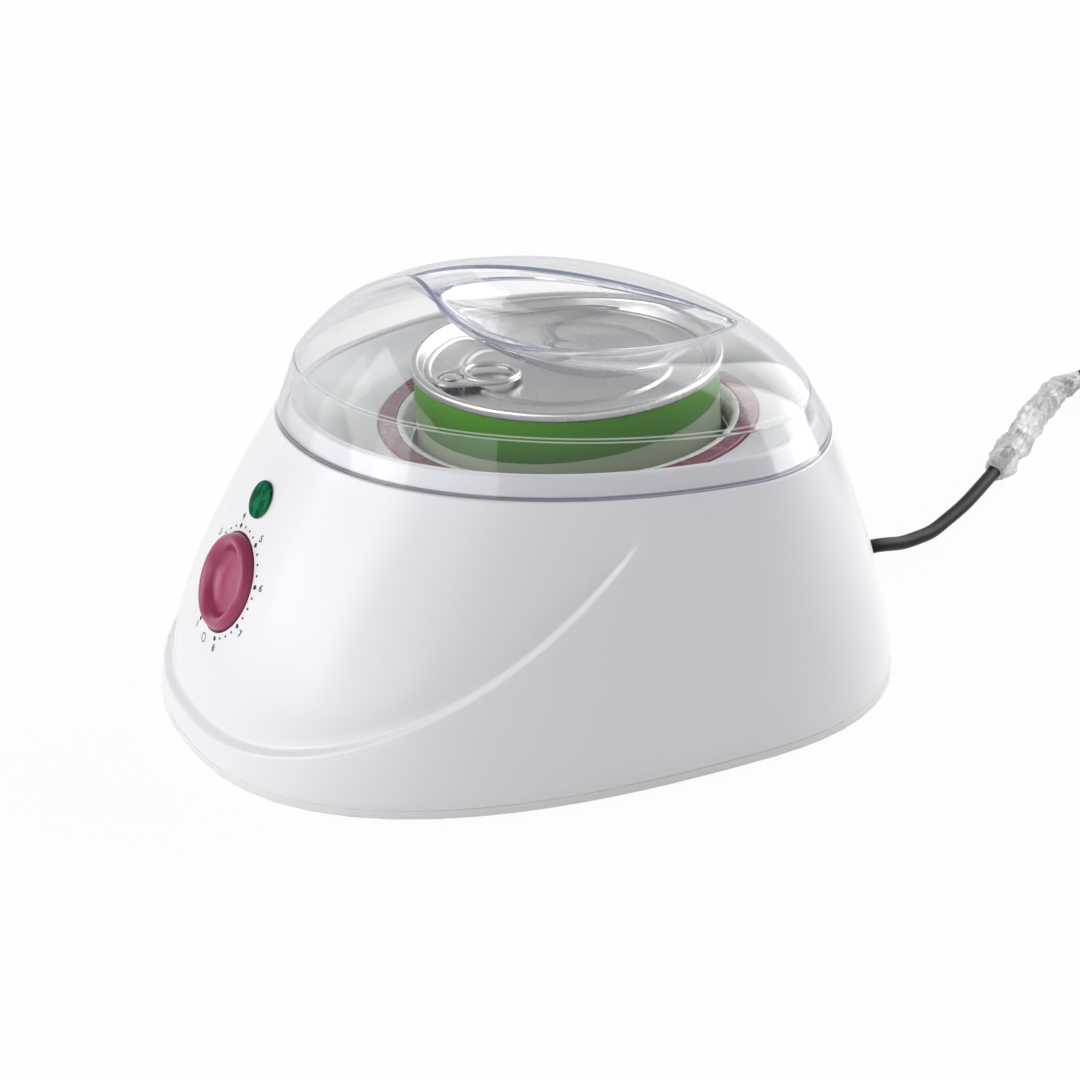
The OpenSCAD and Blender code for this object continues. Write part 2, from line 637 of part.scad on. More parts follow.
// ---- terminals and leads ---------------------------------------------------------
term = [-40, can_y - 52.1];
module terminal_block() {
    color("ivory") translate([term.x, term.y, part_z + 0.1]) difference() {
        translate([-14, -8, 0]) cube([28, 16, 13]);
        for (x = [-5, 5]) translate([x, 0, 0]) {
            translate([0, 0, 7]) rotate([90, 0, 0]) cylinder(d = 3.2, h = 30, center = true, $fn = 24);
            translate([0, 0, 8]) cylinder(d = 3, h = 10, $fn = 24);
        }
    }
}
module mains_leads() {
    for (s = [-1, 1]) color(s < 0 ? "saddlebrown" : "steelblue")
        tube(bend([[s * 1.5, back_y - 33, cord_z], [s * 1.5, back_y - 38, cord_z],
                   [-3 + s * 1.8, back_y - 44.5 - s * 0.6, part_z + 7],
                   by_stand(108, 8.5 - s * 2.4, part_z + 5.6),
                   by_stand(134, 11 - s * 3, part_z + 4.6), by_stand(159, 17 - s * 3.2, part_z + 4.6),
                   by_stand(181, 20 - s * 3.4, part_z + 4.6), by_stand(200, 18 - s * 3.8, part_z + 5),
                   [term.x - 3 + s * 5, term.y + 18, part_z + 6.8],
                   [term.x + s * 5, term.y + 8.2, part_z + 7.1]], 4), 1.1, 6);
}
// where the two leads enter the gap of the heating band
function gap_pt(s, z) =
    let (r = pot_out + 1.5, c = cos(45), q = s * 2.6)
    [-r * c + q * c, can_y - r * c - q * c, z];
module heater_leads() {
    for (s = [-1, 1]) color("firebrick")
        tube(bend([[term.x + s * 5, term.y - 8.2, part_z + 7.1],
                   [term.x - 1 + s * 5, term.y - 16, part_z + 8.2],
                   [term.x - 3 + s * 4, term.y - 22, heater_z - 25.7],
                   [term.x - 3 + s * 3.5, term.y - 15, heater_z - 17.7],
                   [term.x - 1 + s * 2.5, term.y + 2 - s, heater_z - 11.7],
                   gap_pt(s, heater_z - 5.7) - [0.4, 1, 0], gap_pt(s, heater_z + 4)], 4),
             1.1, 6, [1, 0, 0]);
}
module lamp_leads() {
    y1 = panel_y(lamp_z) + 20.2 * cos(lamp_tilt);
    z1 = lamp_z - 20.2 * sin(lamp_tilt);
    tip = dial_pt(0, -23.4, -body_in - 11.6);
    for (s = [-1, 1]) color("dimgray")
        tube(bend([[s * 2.2, y1, z1], [s * 3, y1 + 4, z1 - 2.6], [s * 14, y1 + 4, z1 - 12],
                   [s * 18.5, y1 - 2, z1 - 24], [s * 18.5, y1 - 9, z1 - 38],
                   [s * 13, tip.y + 3, tip.z - 8], [s * 9.6, tip.y - 1, tip.z - 6],
                   [s * 9, tip.y, tip.z]], 4),
             0.9, 6, [1, 0, 0]);
}

// ---- cord ------------------------------------------------------------------------
bush_y = back_y;
module cord_bush() {
    r = bush_neck / 2;
    e = bush_out;
    color("black") translate([0, bush_y, cord_z]) rotate([-90, 0, 0]) rotate_extrude($fn = 64)
        polygon(concat(
            [[cord_d / 2 + 0.25, -wall - 4], [r + 1.4, -wall - 4], [r + 1.4, -wall - 2.4],
             [r, -wall - 2.4], [r, 0.2], [r + 1.4, 0.2], [r + 1.4, 1.8]],
            [for (i = [0:5]) let (p = (e - 1.8) / 6, y = 1.8 + i * p, q = r - 0.1 - i * 0.12)
             each [[q, y + 0.1], [q, y + p * 0.55], [q - 0.6, y + p * 0.6], [q - 0.6, y + p]]],
            [[cord_d / 2 + 0.4, e], [cord_d / 2 + 0.25, e - 2]]));
}
clamp_y = back_y - 26;
module cord_clamp() {
    color("ivory") translate([0, clamp_y, 0]) difference() {
        translate([-15, -5, cord_z]) cube([30, 10, cord_d / 2 + 3]);
        translate([0, -10, cord_z]) rotate([-90, 0, 0])
            cylinder(d = cord_d + 0.2, h = 20, $fn = 40);
        for (x = [-11, 11]) translate([x, 0, 0]) cylinder(d = 3.1, h = 40, $fn = 24);
    }
}
module clamp_screws() {
    color("silver") for (x = [-11, 11]) translate([x, clamp_y, cord_z + cord_d / 2 + 3.05])
        difference() {
            union() {
                cylinder(d = 5.4, h = 1.6, $fn = 32);
                translate([0, 0, -cord_z - cord_d / 2 - 3.05 + feet_h + 1.2])
                    cylinder(d = 2.3, h = cord_z + cord_d / 2 + 2 - feet_h, $fn = 24);
            }
            translate([-3, -0.35, 0.8]) cube([6, 0.7, 2]);
        }
}
// route of the cord: out of the back, down to the table and off to one side; it lies on
// the table, or a little off it where the film is round it
lie = cord_d / 2 + 0.1;
coil_side = 114;
off = lie + 0.8;
cord_pts = [for (p = [[0, -32.5, cord_z], [0, 0, cord_z], [0, bush_out + 1, cord_z],
                      [-1.8, bush_out + 8.5, cord_z - 1.5], [-6, 34, cord_z - 4.8],
                      [-10.5, 43.5, lie + 1.6], [-15, 52, lie + 0.2], [-20.5, 61, lie],
                      [-29, 74.5, lie + 0.2], [-40, 89.5, off], [-52, 104.5, off],
                      [-65, 119.5, off], [-79, 134.5, off], [-92, 149.5, off],
                      [-103, 165.5, off], [-110, 182.5, off - 0.2], [-113.6, 198.5, lie],
                      [-coil_side, 212.5 - cord_d, lie],
                      [-coil_side, 217.5 - cord_d, lie]])
            [p.x, p.y + back_y, p.z]];
cord_path = bend(cord_pts, 2);
module power_cord() {
    color("black") tube(cord_path, cord_d / 2, 8);
}
// loops: spiral in on the table, climb half a turn, spiral out on top
coil_step = cord_d + coil_gap;
coil_rise = cord_d + 0.7;
coil_r = coil_bend * cord_d + coil_step * coil_loops / 2;
coil_c = [coil_r - coil_side, back_y + 217.5];
function loop_at(u) =
    let (n = coil_loops / 2,
         r = coil_r - coil_step * min(u, 2 * n - u),
         k = max(0, min(1, (u - n + 0.25) * 2)),
         z = lie + 0.5 * min(1, u * 4) + coil_rise * k * k * (3 - 2 * k),
         a = 180 - 360 * u)
    [coil_c.x + r * cos(a), coil_c.y + r * sin(a), z];
coil_pts = concat([[coil_c.x - coil_r, coil_c.y - cord_d, lie]],
                  [for (i = [0:24 * coil_loops]) loop_at(i / 24)],
                  [loop_at(coil_loops) + [0, cord_d, 0]]);
coil_clear = min([for (i = [0:4:len(coil_pts) - 13], j = [i + 12:len(coil_pts) - 1])
                  norm(coil_pts[i] - coil_pts[j])]) - cord_d;
echo("least gap between loops", coil_clear);
module cord_coil() {
    color("black") tube(coil_pts, cord_d / 2, 6);
}
coil_end = coil_pts[len(coil_pts) - 1];
tail_pts = [coil_end, coil_end + [0, 8, -0.6], coil_end + [1, 18, -3], coil_end + [4, 28, -5.4],
            coil_end + [10, 38, -5.7], coil_end + [20, 46, -5.2], coil_end + [32, 50, -2],
            coil_end + [44, 51, -1.3], coil_end + [50, 51, -1.3]];
module cord_tail() {
    color("black") tube(bend(tail_pts, 2), cord_d / 2, 8);
}
tail_end = tail_pts[len(tail_pts) - 1];
// thin clear film left round the cord, creased along its length
sleeve_a = 19;
sleeve_b = 29;
module cord_sleeve() {
    p = [for (i = [sleeve_a - 1:sleeve_b]) cord_path[i]];
    n = 10;
    m = len(p);
    function crease(i, k) = 1 + 0.16 * sin(137 * i + 151 * k) + 0.1 * sin(211 * k + 67 * i);
    out = [for (i = [0:m - 1])
           let (t = along(p, i), x = unit(cross([0, 0, 1], t)))
           [for (k = [0:n - 1])
            let (a = 360 * (k + 0.5) / n, q = 5.2 * crease(i, k))
            p[i] + x * q * cos(a) + [0, 0, max(0.05 - p[i].z, q * sin(a) + max(0, sin(a)))]]];
    inn = [for (i = [m - 1:-1:0]) tube_ring(p[i], along(p, i), [0, 0, 1], cord_d / 2 + 0.3, n)];
    color("gainsboro") ring_loft(concat(out, inn));
}
module coil_tie() {
    // flat strap closed round the bundle
    w = coil_step + cord_d / 2 + 0.3;
    h = lie + 0.5 + coil_rise + cord_d / 2 + 0.2;
    translate([coil_c.x + coil_r - coil_step * 1.5, coil_c.y, 0]) color("dimgray") difference() {
        translate([-w - 0.6, -3, 0]) cube([2 * w + 1.2, 6, h + 0.6]);
        translate([-w, -4, 0.5]) cube([2 * w, 8, h - 0.5]);
    }
}
module plug_body() {
    color("black") translate(tail_end) rotate([0, 90, 0]) {
        hull() {
            translate([0, 0, 13]) scale_oval(6.8, 17.6, 22);
            translate([0, 0, 6]) scale_oval(6.2, 9, 2);
        }
        difference() {
            translate([0, 0, 0]) cylinder(d1 = cord_d + 2.4, d2 = 10, h = 7, $fn = 40);
            for (i = [0:1]) translate([0, 0, 1.6 + i * 2.2]) difference() {
                cylinder(d = 14, h = 1, $fn = 40);
                translate([0, 0, -1]) cylinder(d = cord_d + 2.2, h = 3, $fn = 40);
            }
        }
    }
}
module scale_oval(a, b, h) {
    linear_extrude(h) hull() for (s = [-1, 1]) translate([0, s * (b - a)]) circle(r = a, $fn = 32);
}
module plug_pins() {
    color("silver") translate(tail_end) rotate([0, 90, 0]) for (s = [-1, 1])
        translate([0, s * 9.3, 35]) {
            cylinder(d = pin_d, h = pin_l - 1, $fn = 32);
            translate([0, 0, pin_l - 1]) cylinder(d1 = pin_d, d2 = pin_d - 1.6, h = 1, $fn = 32);
        }
}

// ---- lid ------------------------------------------------------------------------
grip_y0 = can_y + grip_back - grip_l;
function crease_z(y) = rim_z + skirt_h - tan(crease_tilt) * (y - can_y);
function crease_pt(a, inset = 0, up = 0) =
    let (p = rim_pt(a, skirt_in + inset)) [p.x, p.y, crease_z(p.y) + up];
// leaf outline: s runs from the front tip to the back tip
function leaf(s) = pow(max(s, 0), 0.48) * pow(max(1 - s, 0), 0.78) / 0.4329;
function grip_z(s) = rim_z + grip_rise - grip_fall * s + 12 * s * (1 - s)
                     + 10.8 * pow(max(1 - s, 0), 18) - 1.6 * pow(max(s, 0), 11);
function half(a) = (1 - cos(a)) / 2;
function sgn(a) = a > 180 ? -1 : 1;
function grip_pt(a) =
    let (s = half(a)) [sgn(a) * grip_w / 2 * leaf(s), grip_y0 + grip_l * s, grip_z(s)];
// height of the grip's edge at a given place along it
function edge_z(y) = grip_z((y - grip_y0) / grip_l);
function dip(y) = sin(180 * min(1, (y - grip_y0) / grip_l / 0.85));
// the bed of the grip, a little lower and smaller
bed_f = 13;
bed_b = 1.6;
function bed_z(y) = edge_z(y) - 0.3 - 2.1 * dip(y);
function bed_pt(a) =
    let (s = half(a), y = grip_y0 + bed_f + (grip_l - bed_f - bed_b) * s)
    [sgn(a) * (grip_w / 2 - 5.4) * leaf(s), y, bed_z(y)];
// the pan for the fingers, its floor just above the tin
floor_z = can_top + 3.3;
pan_f = 20;
pan_l = 0.84 * grip_l - pan_f;
function pan_z(y) =
    let (d = max(0, can_y + 8 - y)) min(floor_z + 0.0089 * d * d, edge_z(y) - 1.2);
function pan_pt(a, k = 1) =
    let (s = half(a), y = grip_y0 + pan_f + pan_l * (0.5 + (s - 0.5) * k))
    [(grip_w / 2 - 16) * sin(a) * k, y, pan_z(y) - (1 - k) * 0.5];
function pan_wall_pt(a) =
    let (q = mix(pan_pt(a), bed_pt(a), 0.5))
    [q.x, q.y, (pan_z(q.y) + bed_z(q.y)) / 2 - 0.2 - 0.6 * dip(q.y)];
function dome_pt(a, k) =
    let (c = crease_pt(a), e = grip_pt(a), q = mix(c, e, k))
    [q.x, q.y, c.z + (e.z - c.z) * (1 - pow(1 - k, dome_round + dome_swell * half(a)))];
module lid() {
    ang = [for (j = [0:cols - 1]) 360 * j / cols];
    gap = 0.35 + fit;
    foot = [for (a = ang) rim_pt(a, 0.3, gap)];
    outer = concat(
        [[for (a = ang) pan_pt(a, 0.5)],
         [for (a = ang) pan_pt(a, 1)],
         [for (a = ang) pan_wall_pt(a)],
         [for (a = ang) bed_pt(a)],
         [for (a = ang) mix(bed_pt(a), grip_pt(a), 0.75) - [0, 0, 0.5]]],
        [for (k = [1, 0.9, 0.76, 0.6, 0.43, 0.26, 0.1])
         [for (a = ang) dome_pt(a, k)]],
        [[for (a = ang) crease_pt(a, 0.25, 0.2)],
         [for (a = ang) crease_pt(a, -0.35, -0.9)],
         [for (j = [0:cols - 1]) mix(foot[j], crease_pt(ang[j]), 0.5)],
         foot]);
    n = len(outer);
    m = cols;
    function norm_at(i, j) =
        let (u = outer[min(i + 1, n - 1)][j] - outer[max(i - 1, 0)][j],
             v = outer[i][(j + 1) % m] - outer[i][(j + m - 1) % m],
             w = cross(u, v))
        norm(w) < 0.001 ? [0, 0, 1] : w / norm(w);
    inner = [for (i = [n - 1:-1:0])
             [for (j = [0:m - 1])
              let (q = outer[i][j] - lid_t * norm_at(i, j))
              i == n - 1 ? [q.x, q.y, ledge_z(q.y) + gap] : q]];
    top_c = [0, grip_y0 + pan_f + pan_l / 2, floor_z - 0.5];
    color("lightcyan", 0.4) cup_loft(top_c, concat(outer, inner), top_c - [0, 0, lid_t]);
}

// ---- tin ------------------------------------------------------------------------
module can_body() {
    r = can_r;
    color("silver") pot_at() rotate_extrude($fn = 144)
        polygon([[0, can_z + 2.4], [r - 6, can_z + 2.4], [r - 4.4, can_z], [r - 0.4, can_z],
                 [r, can_z + 0.6], [r, can_top - seam_h], [r - can_t, can_top - seam_h],
                 [r - can_t, can_z + 1], [r - 4, can_z + can_t], [r - 5.6, can_z + 2.4 + can_t],
                 [0, can_z + 2.4 + can_t]]);
}
module can_end() {
    r = can_r;
    t = can_t;
    p = panel_z;
    color("silver") pot_at() difference() {
        rotate_extrude($fn = 144) polygon([
            [0, p], [r - 18, p], [r - 17, p + 0.8], [r - 16, p + 0.8], [r - 15, p],
            [r - 5.4, p], [r - 4.6, p + 0.9], [r - 3.8, p + 0.2], [r - 3, p],
            [r - 1.5, can_top - 0.7], [r - 0.9, can_top], [r + seam_out - 0.6, can_top],
            [r + seam_out, can_top - 0.6], [r + seam_out, can_top - seam_h + 0.4],
            [r + seam_out - 0.4, can_top - seam_h], [r - 1.9, can_top - seam_h],
            [r - 2.6, p - t], [r - 3.6, p - t], [r - 4.6, p + 0.9 - t], [r - 5.2, p - t],
            [r - 15.2, p - t], [r - 16.2, p + 0.8 - t], [r - 16.8, p + 0.8 - t],
            [r - 17.8, p - t], [0, p - t]]);
    }
}
module can_label() {
    color("olivedrab") pot_at() difference() {
        translate([0, 0, can_z + 1.4]) cylinder(r = can_r + 0.3, h = can_h - seam_h - 1.8, $fn = 144);
        translate([0, 0, can_z]) cylinder(r = can_r + 0.05, h = can_h, $fn = 144);
    }
}
module wax_fill() {
    // cooled wax that fills the tin up to a little below its end
    color("khaki") pot_at() rotate_extrude($fn = 96)
        polygon([[0, can_z + 2.7 + can_t], [can_r - 5.45, can_z + 2.7 + can_t],
                 [can_r - 4.25, can_z + 0.9 + can_t], [can_r - can_t - 0.3, can_z + 0.9 + can_t],
                 [can_r - can_t - 0.3, panel_z - 7], [0, panel_z - 7]]);
}
rivet_r = can_r - 9.9;
tab_z = panel_z + 1.6;
island_r = 3.8;
module tab_frame() {
    pot_at() rotate(-tab_turn) translate([0, -rivet_r, 0]) children();
}
module tab_rivet() {
    // rivet with the tongue of sheet that it holds down
    color("silver") tab_frame() translate([0, 0, panel_z + 0.02]) {
        cylinder(d = 3.4, h = 3.2, $fn = 32);
        translate([0, 0, 1.6]) cylinder(r = island_r, h = 0.8, $fn = 48);
        translate([0, 0, 2.6]) cylinder(d = 5.6, h = 0.6, $fn = 32);
    }
}
module pull_tab() {
    w = tab_w / 2;
    ring_y = tab_l - 6.2 - w;
    color("silver") tab_frame() translate([0, 0, tab_z]) difference() {
        union() {
            // plate with its finger hole, then the curled edge of the ring
            linear_extrude(1.1) difference() {
                hull() {
                    translate([0, ring_y]) circle(r = w, $fn = 64);
                    translate([0, -0.3]) circle(r = island_r + 2.1, $fn = 48);
                }
                translate([0, ring_y]) circle(r = w - 2.6, $fn = 64);
            }
            translate([0, ring_y, 0.55]) rotate_extrude($fn = 64)
                translate([w - 1.2, 0]) circle(d = 2.1, $fn = 16);
            // rolled edge at the nose, on the line the tab turns about
            translate([-3, -island_r - 1.5, 0.6]) rotate([0, 90, 0])
                cylinder(d = 1.2, h = 6, $fn = 24);
        }
        translate([0, 0, -1]) cylinder(r = island_r + 0.5, h = 4, $fn = 48);
    }
}

housing();
base_plate();
base_feet();
base_screws();
pot_ring();
pot_lip();
pot_gasket();
heating_pot();
heater_band();
band_clamp();
thermal_fuse();
pot_support();
thermostat();
thermostat_screws();
thermostat_shaft();
knob();
sensor_bulb();
capillary_tube();
lamp_lens();
lamp_body();
terminal_block();
mains_leads();
heater_leads();
lamp_leads();
cord_bush();
cord_clamp();
clamp_screws();
power_cord();
cord_sleeve();
cord_coil();
cord_tail();
coil_tie();
plug_body();
plug_pins();
lid();
can_body();
can_end();
can_label();
pull_tab();
tab_rivet();
wax_fill();
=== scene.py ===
# A salon wax warmer: a leaning oval housing with a heated pot, a tin of wax, a clear lift-off
# lid, a temperature dial, a pilot lamp and a black cord that lies off to the back.
import math
import bpy
from mathutils import Matrix, Vector, noise
from mathutils.bvhtree import BVHTree


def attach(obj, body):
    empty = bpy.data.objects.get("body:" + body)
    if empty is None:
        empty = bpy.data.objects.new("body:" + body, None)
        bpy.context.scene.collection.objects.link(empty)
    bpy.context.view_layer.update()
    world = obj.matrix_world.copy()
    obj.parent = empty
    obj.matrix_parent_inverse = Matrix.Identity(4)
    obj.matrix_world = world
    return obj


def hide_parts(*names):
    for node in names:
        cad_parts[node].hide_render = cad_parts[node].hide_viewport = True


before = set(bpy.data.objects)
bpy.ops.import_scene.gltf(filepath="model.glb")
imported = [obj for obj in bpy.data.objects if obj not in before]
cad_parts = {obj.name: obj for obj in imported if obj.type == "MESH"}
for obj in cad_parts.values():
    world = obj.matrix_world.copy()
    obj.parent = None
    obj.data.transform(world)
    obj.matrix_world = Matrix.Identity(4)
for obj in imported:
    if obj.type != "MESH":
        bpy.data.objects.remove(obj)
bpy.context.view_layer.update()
MM = 0.001


# Camera
# Stands to the right of the dial and a little above it, about 1.1 m away, with a long lens. It
# leans a little to one side.
turn, lift, roll = math.radians(66.05), math.radians(25.2), math.radians(2.66)
distance, aside, above, aim = 1.1, 0.0111, 0.03561, Vector((0, 0.022, 0.002))
right = Vector((math.cos(turn), math.sin(turn), 0))
back = Vector((math.sin(turn) * math.cos(lift), -math.cos(turn) * math.cos(lift), math.sin(lift)))
up = back.cross(right)
eye = back * distance - right * aside + up * above + aim
axes = Matrix((right * math.cos(roll) - up * math.sin(roll),
               right * math.sin(roll) + up * math.cos(roll), back)).transposed()
camera = bpy.data.objects.new("camera", bpy.data.cameras.new("camera"))
camera.data.lens = 108.3
camera.data.sensor_width = 36
camera.data.clip_end = 50
camera.matrix_world = Matrix.Translation(eye) @ axes.to_4x4()
bpy.context.collection.objects.link(camera)
bpy.context.scene.camera = camera
bpy.context.scene.view_settings.view_transform = "Standard"


# Power cord
# Black vinyl cord, 5 mm thick and about a metre and a half long. It leaves the back of the
# housing, drops to the table and runs off to the left, where its unseen length is coiled.
def linear(code):
    """An sRGB hex colour as the linear colour that a shader takes."""
    parts = [int(code[i:i + 2], 16) / 255 for i in (1, 3, 5)]
    return [p / 12.92 if p <= 0.04045 else ((p + 0.055) / 1.055) ** 2.4 for p in parts] + [1.0]


def finish(name, colour, **values):
    """A new material whose Principled shader has this colour and these values."""
    made = bpy.data.materials.new(name)
    made.use_nodes = True
    shader = made.node_tree.nodes["Principled BSDF"]
    shader.inputs["Base Color"].default_value = linear(colour)
    for socket, value in values.items():
        shader.inputs[socket.replace("_", " ")].default_value = value
    return made


def add(mat, kind, into=None, out=0, values=None, **settings):
    """Adds a node: values are numbers, or nodes or sockets that feed it; into is what it feeds."""
    node = mat.node_tree.nodes.new("ShaderNode" + kind)
    for name, value in settings.items():
        setattr(node, name, value)
    for socket, value in (values or {}).items():
        if isinstance(value, bpy.types.Node):
            value = value.outputs[0]
        if isinstance(value, bpy.types.NodeSocket):
            mat.node_tree.links.new(value, node.inputs[socket])
        else:
            node.inputs[socket].default_value = value
    if into is not None:
        target = into if isinstance(into, bpy.types.NodeSocket) else \
            mat.node_tree.nodes["Principled BSDF"].inputs[into]
        mat.node_tree.links.new(node.outputs[out], target)
    return node


def only(obj):
    """Selects one object alone and makes it the active one."""
    bpy.ops.object.select_all(action="DESELECT")
    obj.select_set(True)
    bpy.context.view_layer.objects.active = obj


def grain(mat, size, dull=None, relief=None, stretch=(1, 1, 1)):
    """Blotches so many mm wide, stretched along the object's axes. They take the roughness from
    one value to another (dull) and raise the surface (relief: a strength, a depth in mm)."""
    place = add(mat, "TexCoord")
    spread = add(mat, "Mapping", values={"Vector": place.outputs["Object"], "Scale": stretch})
    blotches = add(mat, "TexNoise", values={"Vector": spread, "Scale": 1 / (size * MM),
                                            "Detail": 4.0, "Roughness": 0.55})
    if dull:
        add(mat, "MapRange", "Roughness", values={"Value": blotches, "To Min": dull[0],
                                                  "To Max": dull[1]})
    if relief:
        add(mat, "Bump", "Normal", values={"Height": blotches, "Strength": relief[0],
                                           "Distance": relief[1] * MM})
    return blotches


def bend(points, steps):
    """A smooth line through the points, with so many steps from each one to the next."""
    line = []
    for i in range(len(points) - 1):
        a, b = points[max(i - 1, 0)], points[i]
        c, d = points[i + 1], points[min(i + 2, len(points) - 1)]
        for k in range(steps):
            t = k / steps
            line.append(0.5 * (2 * b + (c - a) * t + (2 * a - 5 * b + 4 * c - d) * t * t
                               + (3 * b - a - 3 * c + d) * t ** 3))
    return line + [points[-1]]


def tube(name, line, radius):
    """A smooth round tube along a line of points in metres."""
    bpy.ops.object.select_all(action="DESELECT")
    bpy.ops.curve.primitive_bezier_curve_add()
    made = bpy.context.object
    made.name = name
    made.data.splines.clear()
    spline = made.data.splines.new("POLY")
    spline.points.add(len(line) - 1)
    for point, place in zip(spline.points, line):
        point.co = (*place, 1)
    made.data.bevel_depth = radius
    made.data.bevel_resolution = 5
    made.data.use_fill_caps = True
    bpy.ops.object.convert(target="MESH")
    made.matrix_world = Matrix.Identity(4)
    bpy.ops.object.shade_smooth_by_angle(angle=math.radians(50))
    return made


base_l, cord_d, cord_z, bush_out = 237, 5, 11, 16
back_y = base_l / 2
lie, off = cord_d / 2 + 0.1, cord_d / 2 + 0.9
route = [(0, -32.5, cord_z), (0, 0, cord_z), (0, bush_out + 1, cord_z),
         (-1.8, bush_out + 8.5, cord_z - 1.5), (-6, 34, cord_z - 4.8),
         (-10.5, 43.5, lie + 1.6), (-15, 52, lie + 0.2), (-20.5, 61, lie),
         (-29, 74.5, lie + 0.2), (-40, 89.5, off), (-52, 104.5, off), (-65, 119.5, off),
         (-79, 134.5, off), (-92, 149.5, off), (-103, 165.5, off), (-110, 182.5, off - 0.2),
         (-113.6, 198.5, lie), (-114, 212.5 - cord_d, lie), (-114, 217.5 - cord_d, lie)]
run_out = bend([Vector((x, y + back_y, z)) * MM for x, y, z in route], 4)

# the coil: in on the table for half the loops, up half a turn, and out again on top
coil_loops, coil_step, coil_rise, loop_pts = 6, cord_d + 0.8, cord_d + 0.7, 36
coil_r = 4.1 * cord_d + coil_step * coil_loops / 2
coil_x, coil_y = coil_r - 114, back_y + 217.5
wound = []
for i in range(loop_pts * coil_loops + 1):
    u = i / loop_pts
    r = coil_r - coil_step * min(u, coil_loops - u)
    k = max(0, min(1, (u - coil_loops / 2 + 0.25) * 2))
    wound.append(Vector((coil_x - r * math.cos(2 * math.pi * u),
                         coil_y + r * math.sin(2 * math.pi * u),
                         lie + 0.5 * min(1, u * 4) + coil_rise * k * k * (3 - 2 * k))) * MM)
coil_end = wound[-1] + Vector((0, cord_d, 0)) * MM
tail = bend([coil_end + Vector(p) * MM for p in
             [(0, 0, 0), (0, 8, -0.6), (1, 18, -3), (4, 28, -5.4), (10, 38, -5.7),
              (20, 46, -5.2), (32, 50, -2), (44, 51, -1.3), (50, 51, -1.3)]], 4)
cord_line = run_out[:-1] + wound + tail
plug_at = tail[-1]

# black vinyl: soft gloss, with a fine dull grain left by the die it was drawn through
vinyl = finish("black_vinyl", "#050506", IOR=1.5, Specular_IOR_Level=0.12)
grain(vinyl, 0.6, (0.28, 0.5), (0.12, 0.1))
cord = tube("mains_cord", cord_line, cord_d / 2 * MM)
cord.data.materials.append(vinyl)
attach(cord, "base")
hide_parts("power_cord", "cord_coil", "cord_tail")


# Plug
# Flat two-pin plug moulded in black vinyl on the end of the cord, with bright plated pins. It
# lies beside the coil.
def shaped(name, size, place):
    """A cube primitive with its sides in mm, its middle at place, left in edit mode."""
    bpy.ops.object.select_all(action="DESELECT")
    bpy.ops.mesh.primitive_cube_add(size=1, location=place)
    made = bpy.context.object
    made.name = name
    made.scale = [s * MM for s in size]
    bpy.ops.object.transform_apply(location=True, rotation=True, scale=True)
    bpy.ops.object.mode_set(mode="EDIT")
    return made


def faces_at(made, axis, high=True):
    """In edit mode, selects the faces at one end of the piece along an axis."""
    bpy.ops.mesh.select_mode(type="FACE")
    bpy.ops.mesh.select_all(action="DESELECT")
    bpy.ops.object.mode_set(mode="OBJECT")
    mids = [face.center[axis] for face in made.data.polygons]
    end = max(mids) if high else min(mids)
    for face, mid in zip(made.data.polygons, mids):
        face.select = abs(mid - end) < 1e-5
    bpy.ops.object.mode_set(mode="EDIT")


def rounded_off(made, width, segments=4):
    """Bevels the piece's edges, smooths it and leaves it in object mode."""
    bpy.ops.object.mode_set(mode="OBJECT")
    only(made)
    bevel = made.modifiers.new("round", "BEVEL")
    bevel.width, bevel.segments = width * MM, segments
    bevel.limit_method, bevel.angle_limit = "ANGLE", math.radians(30)
    bevel.harden_normals = False
    bpy.ops.object.modifier_apply(modifier="round")
    bpy.ops.object.shade_smooth_by_angle(angle=math.radians(40))


# narrow where the cord comes in and broad where the pins are
plug_waist, plug_shoulder, plug_face = 13, 9, 12.8
pin_d, pin_l, pin_pitch, pin_mid = 4, 19, 18.6, 44.5
plug = shaped("mains_plug", (plug_waist, 24, 12), plug_at + Vector((6.6, 0, 0)) * MM)
faces_at(plug, 0)
bpy.ops.mesh.extrude_region_move(TRANSFORM_OT_translate={"value": (plug_shoulder * MM, 0, 0)})
bpy.ops.transform.resize(value=(1, 1.46, 1.13))
bpy.ops.mesh.extrude_region_move(TRANSFORM_OT_translate={"value": (plug_face * MM, 0, 0)})
faces_at(plug, 0, high=False)
bpy.ops.transform.resize(value=(1, 0.4, 0.8))
rounded_off(plug, 2.4, 6)
plug.data.materials.append(vinyl)
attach(plug, "base")
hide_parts("plug_body")

# nickel plate on brass: bright, with faint lines round each pin from turning
nickel = finish("nickel_plate", "#cfcac2", Metallic=1.0)
grain(nickel, 1.2, (0.14, 0.34), stretch=(6, 1, 1))
for side in (-1, 1):
    bpy.ops.object.select_all(action="DESELECT")
    bpy.ops.mesh.primitive_cylinder_add(
        vertices=48, radius=pin_d / 2 * MM, depth=pin_l * MM, rotation=(0, math.pi / 2, 0),
        location=plug_at + Vector((pin_mid, pin_pitch / 2 * side, 0)) * MM)
    pin = bpy.context.object
    pin.name = "plug_pin_" + "ab"[side > 0]
    bpy.ops.object.transform_apply(location=True, rotation=True, scale=True)
    rounded_off(pin, 0.8)
    pin.data.materials.append(nickel)
    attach(pin, "base")
    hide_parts("plug_pins")


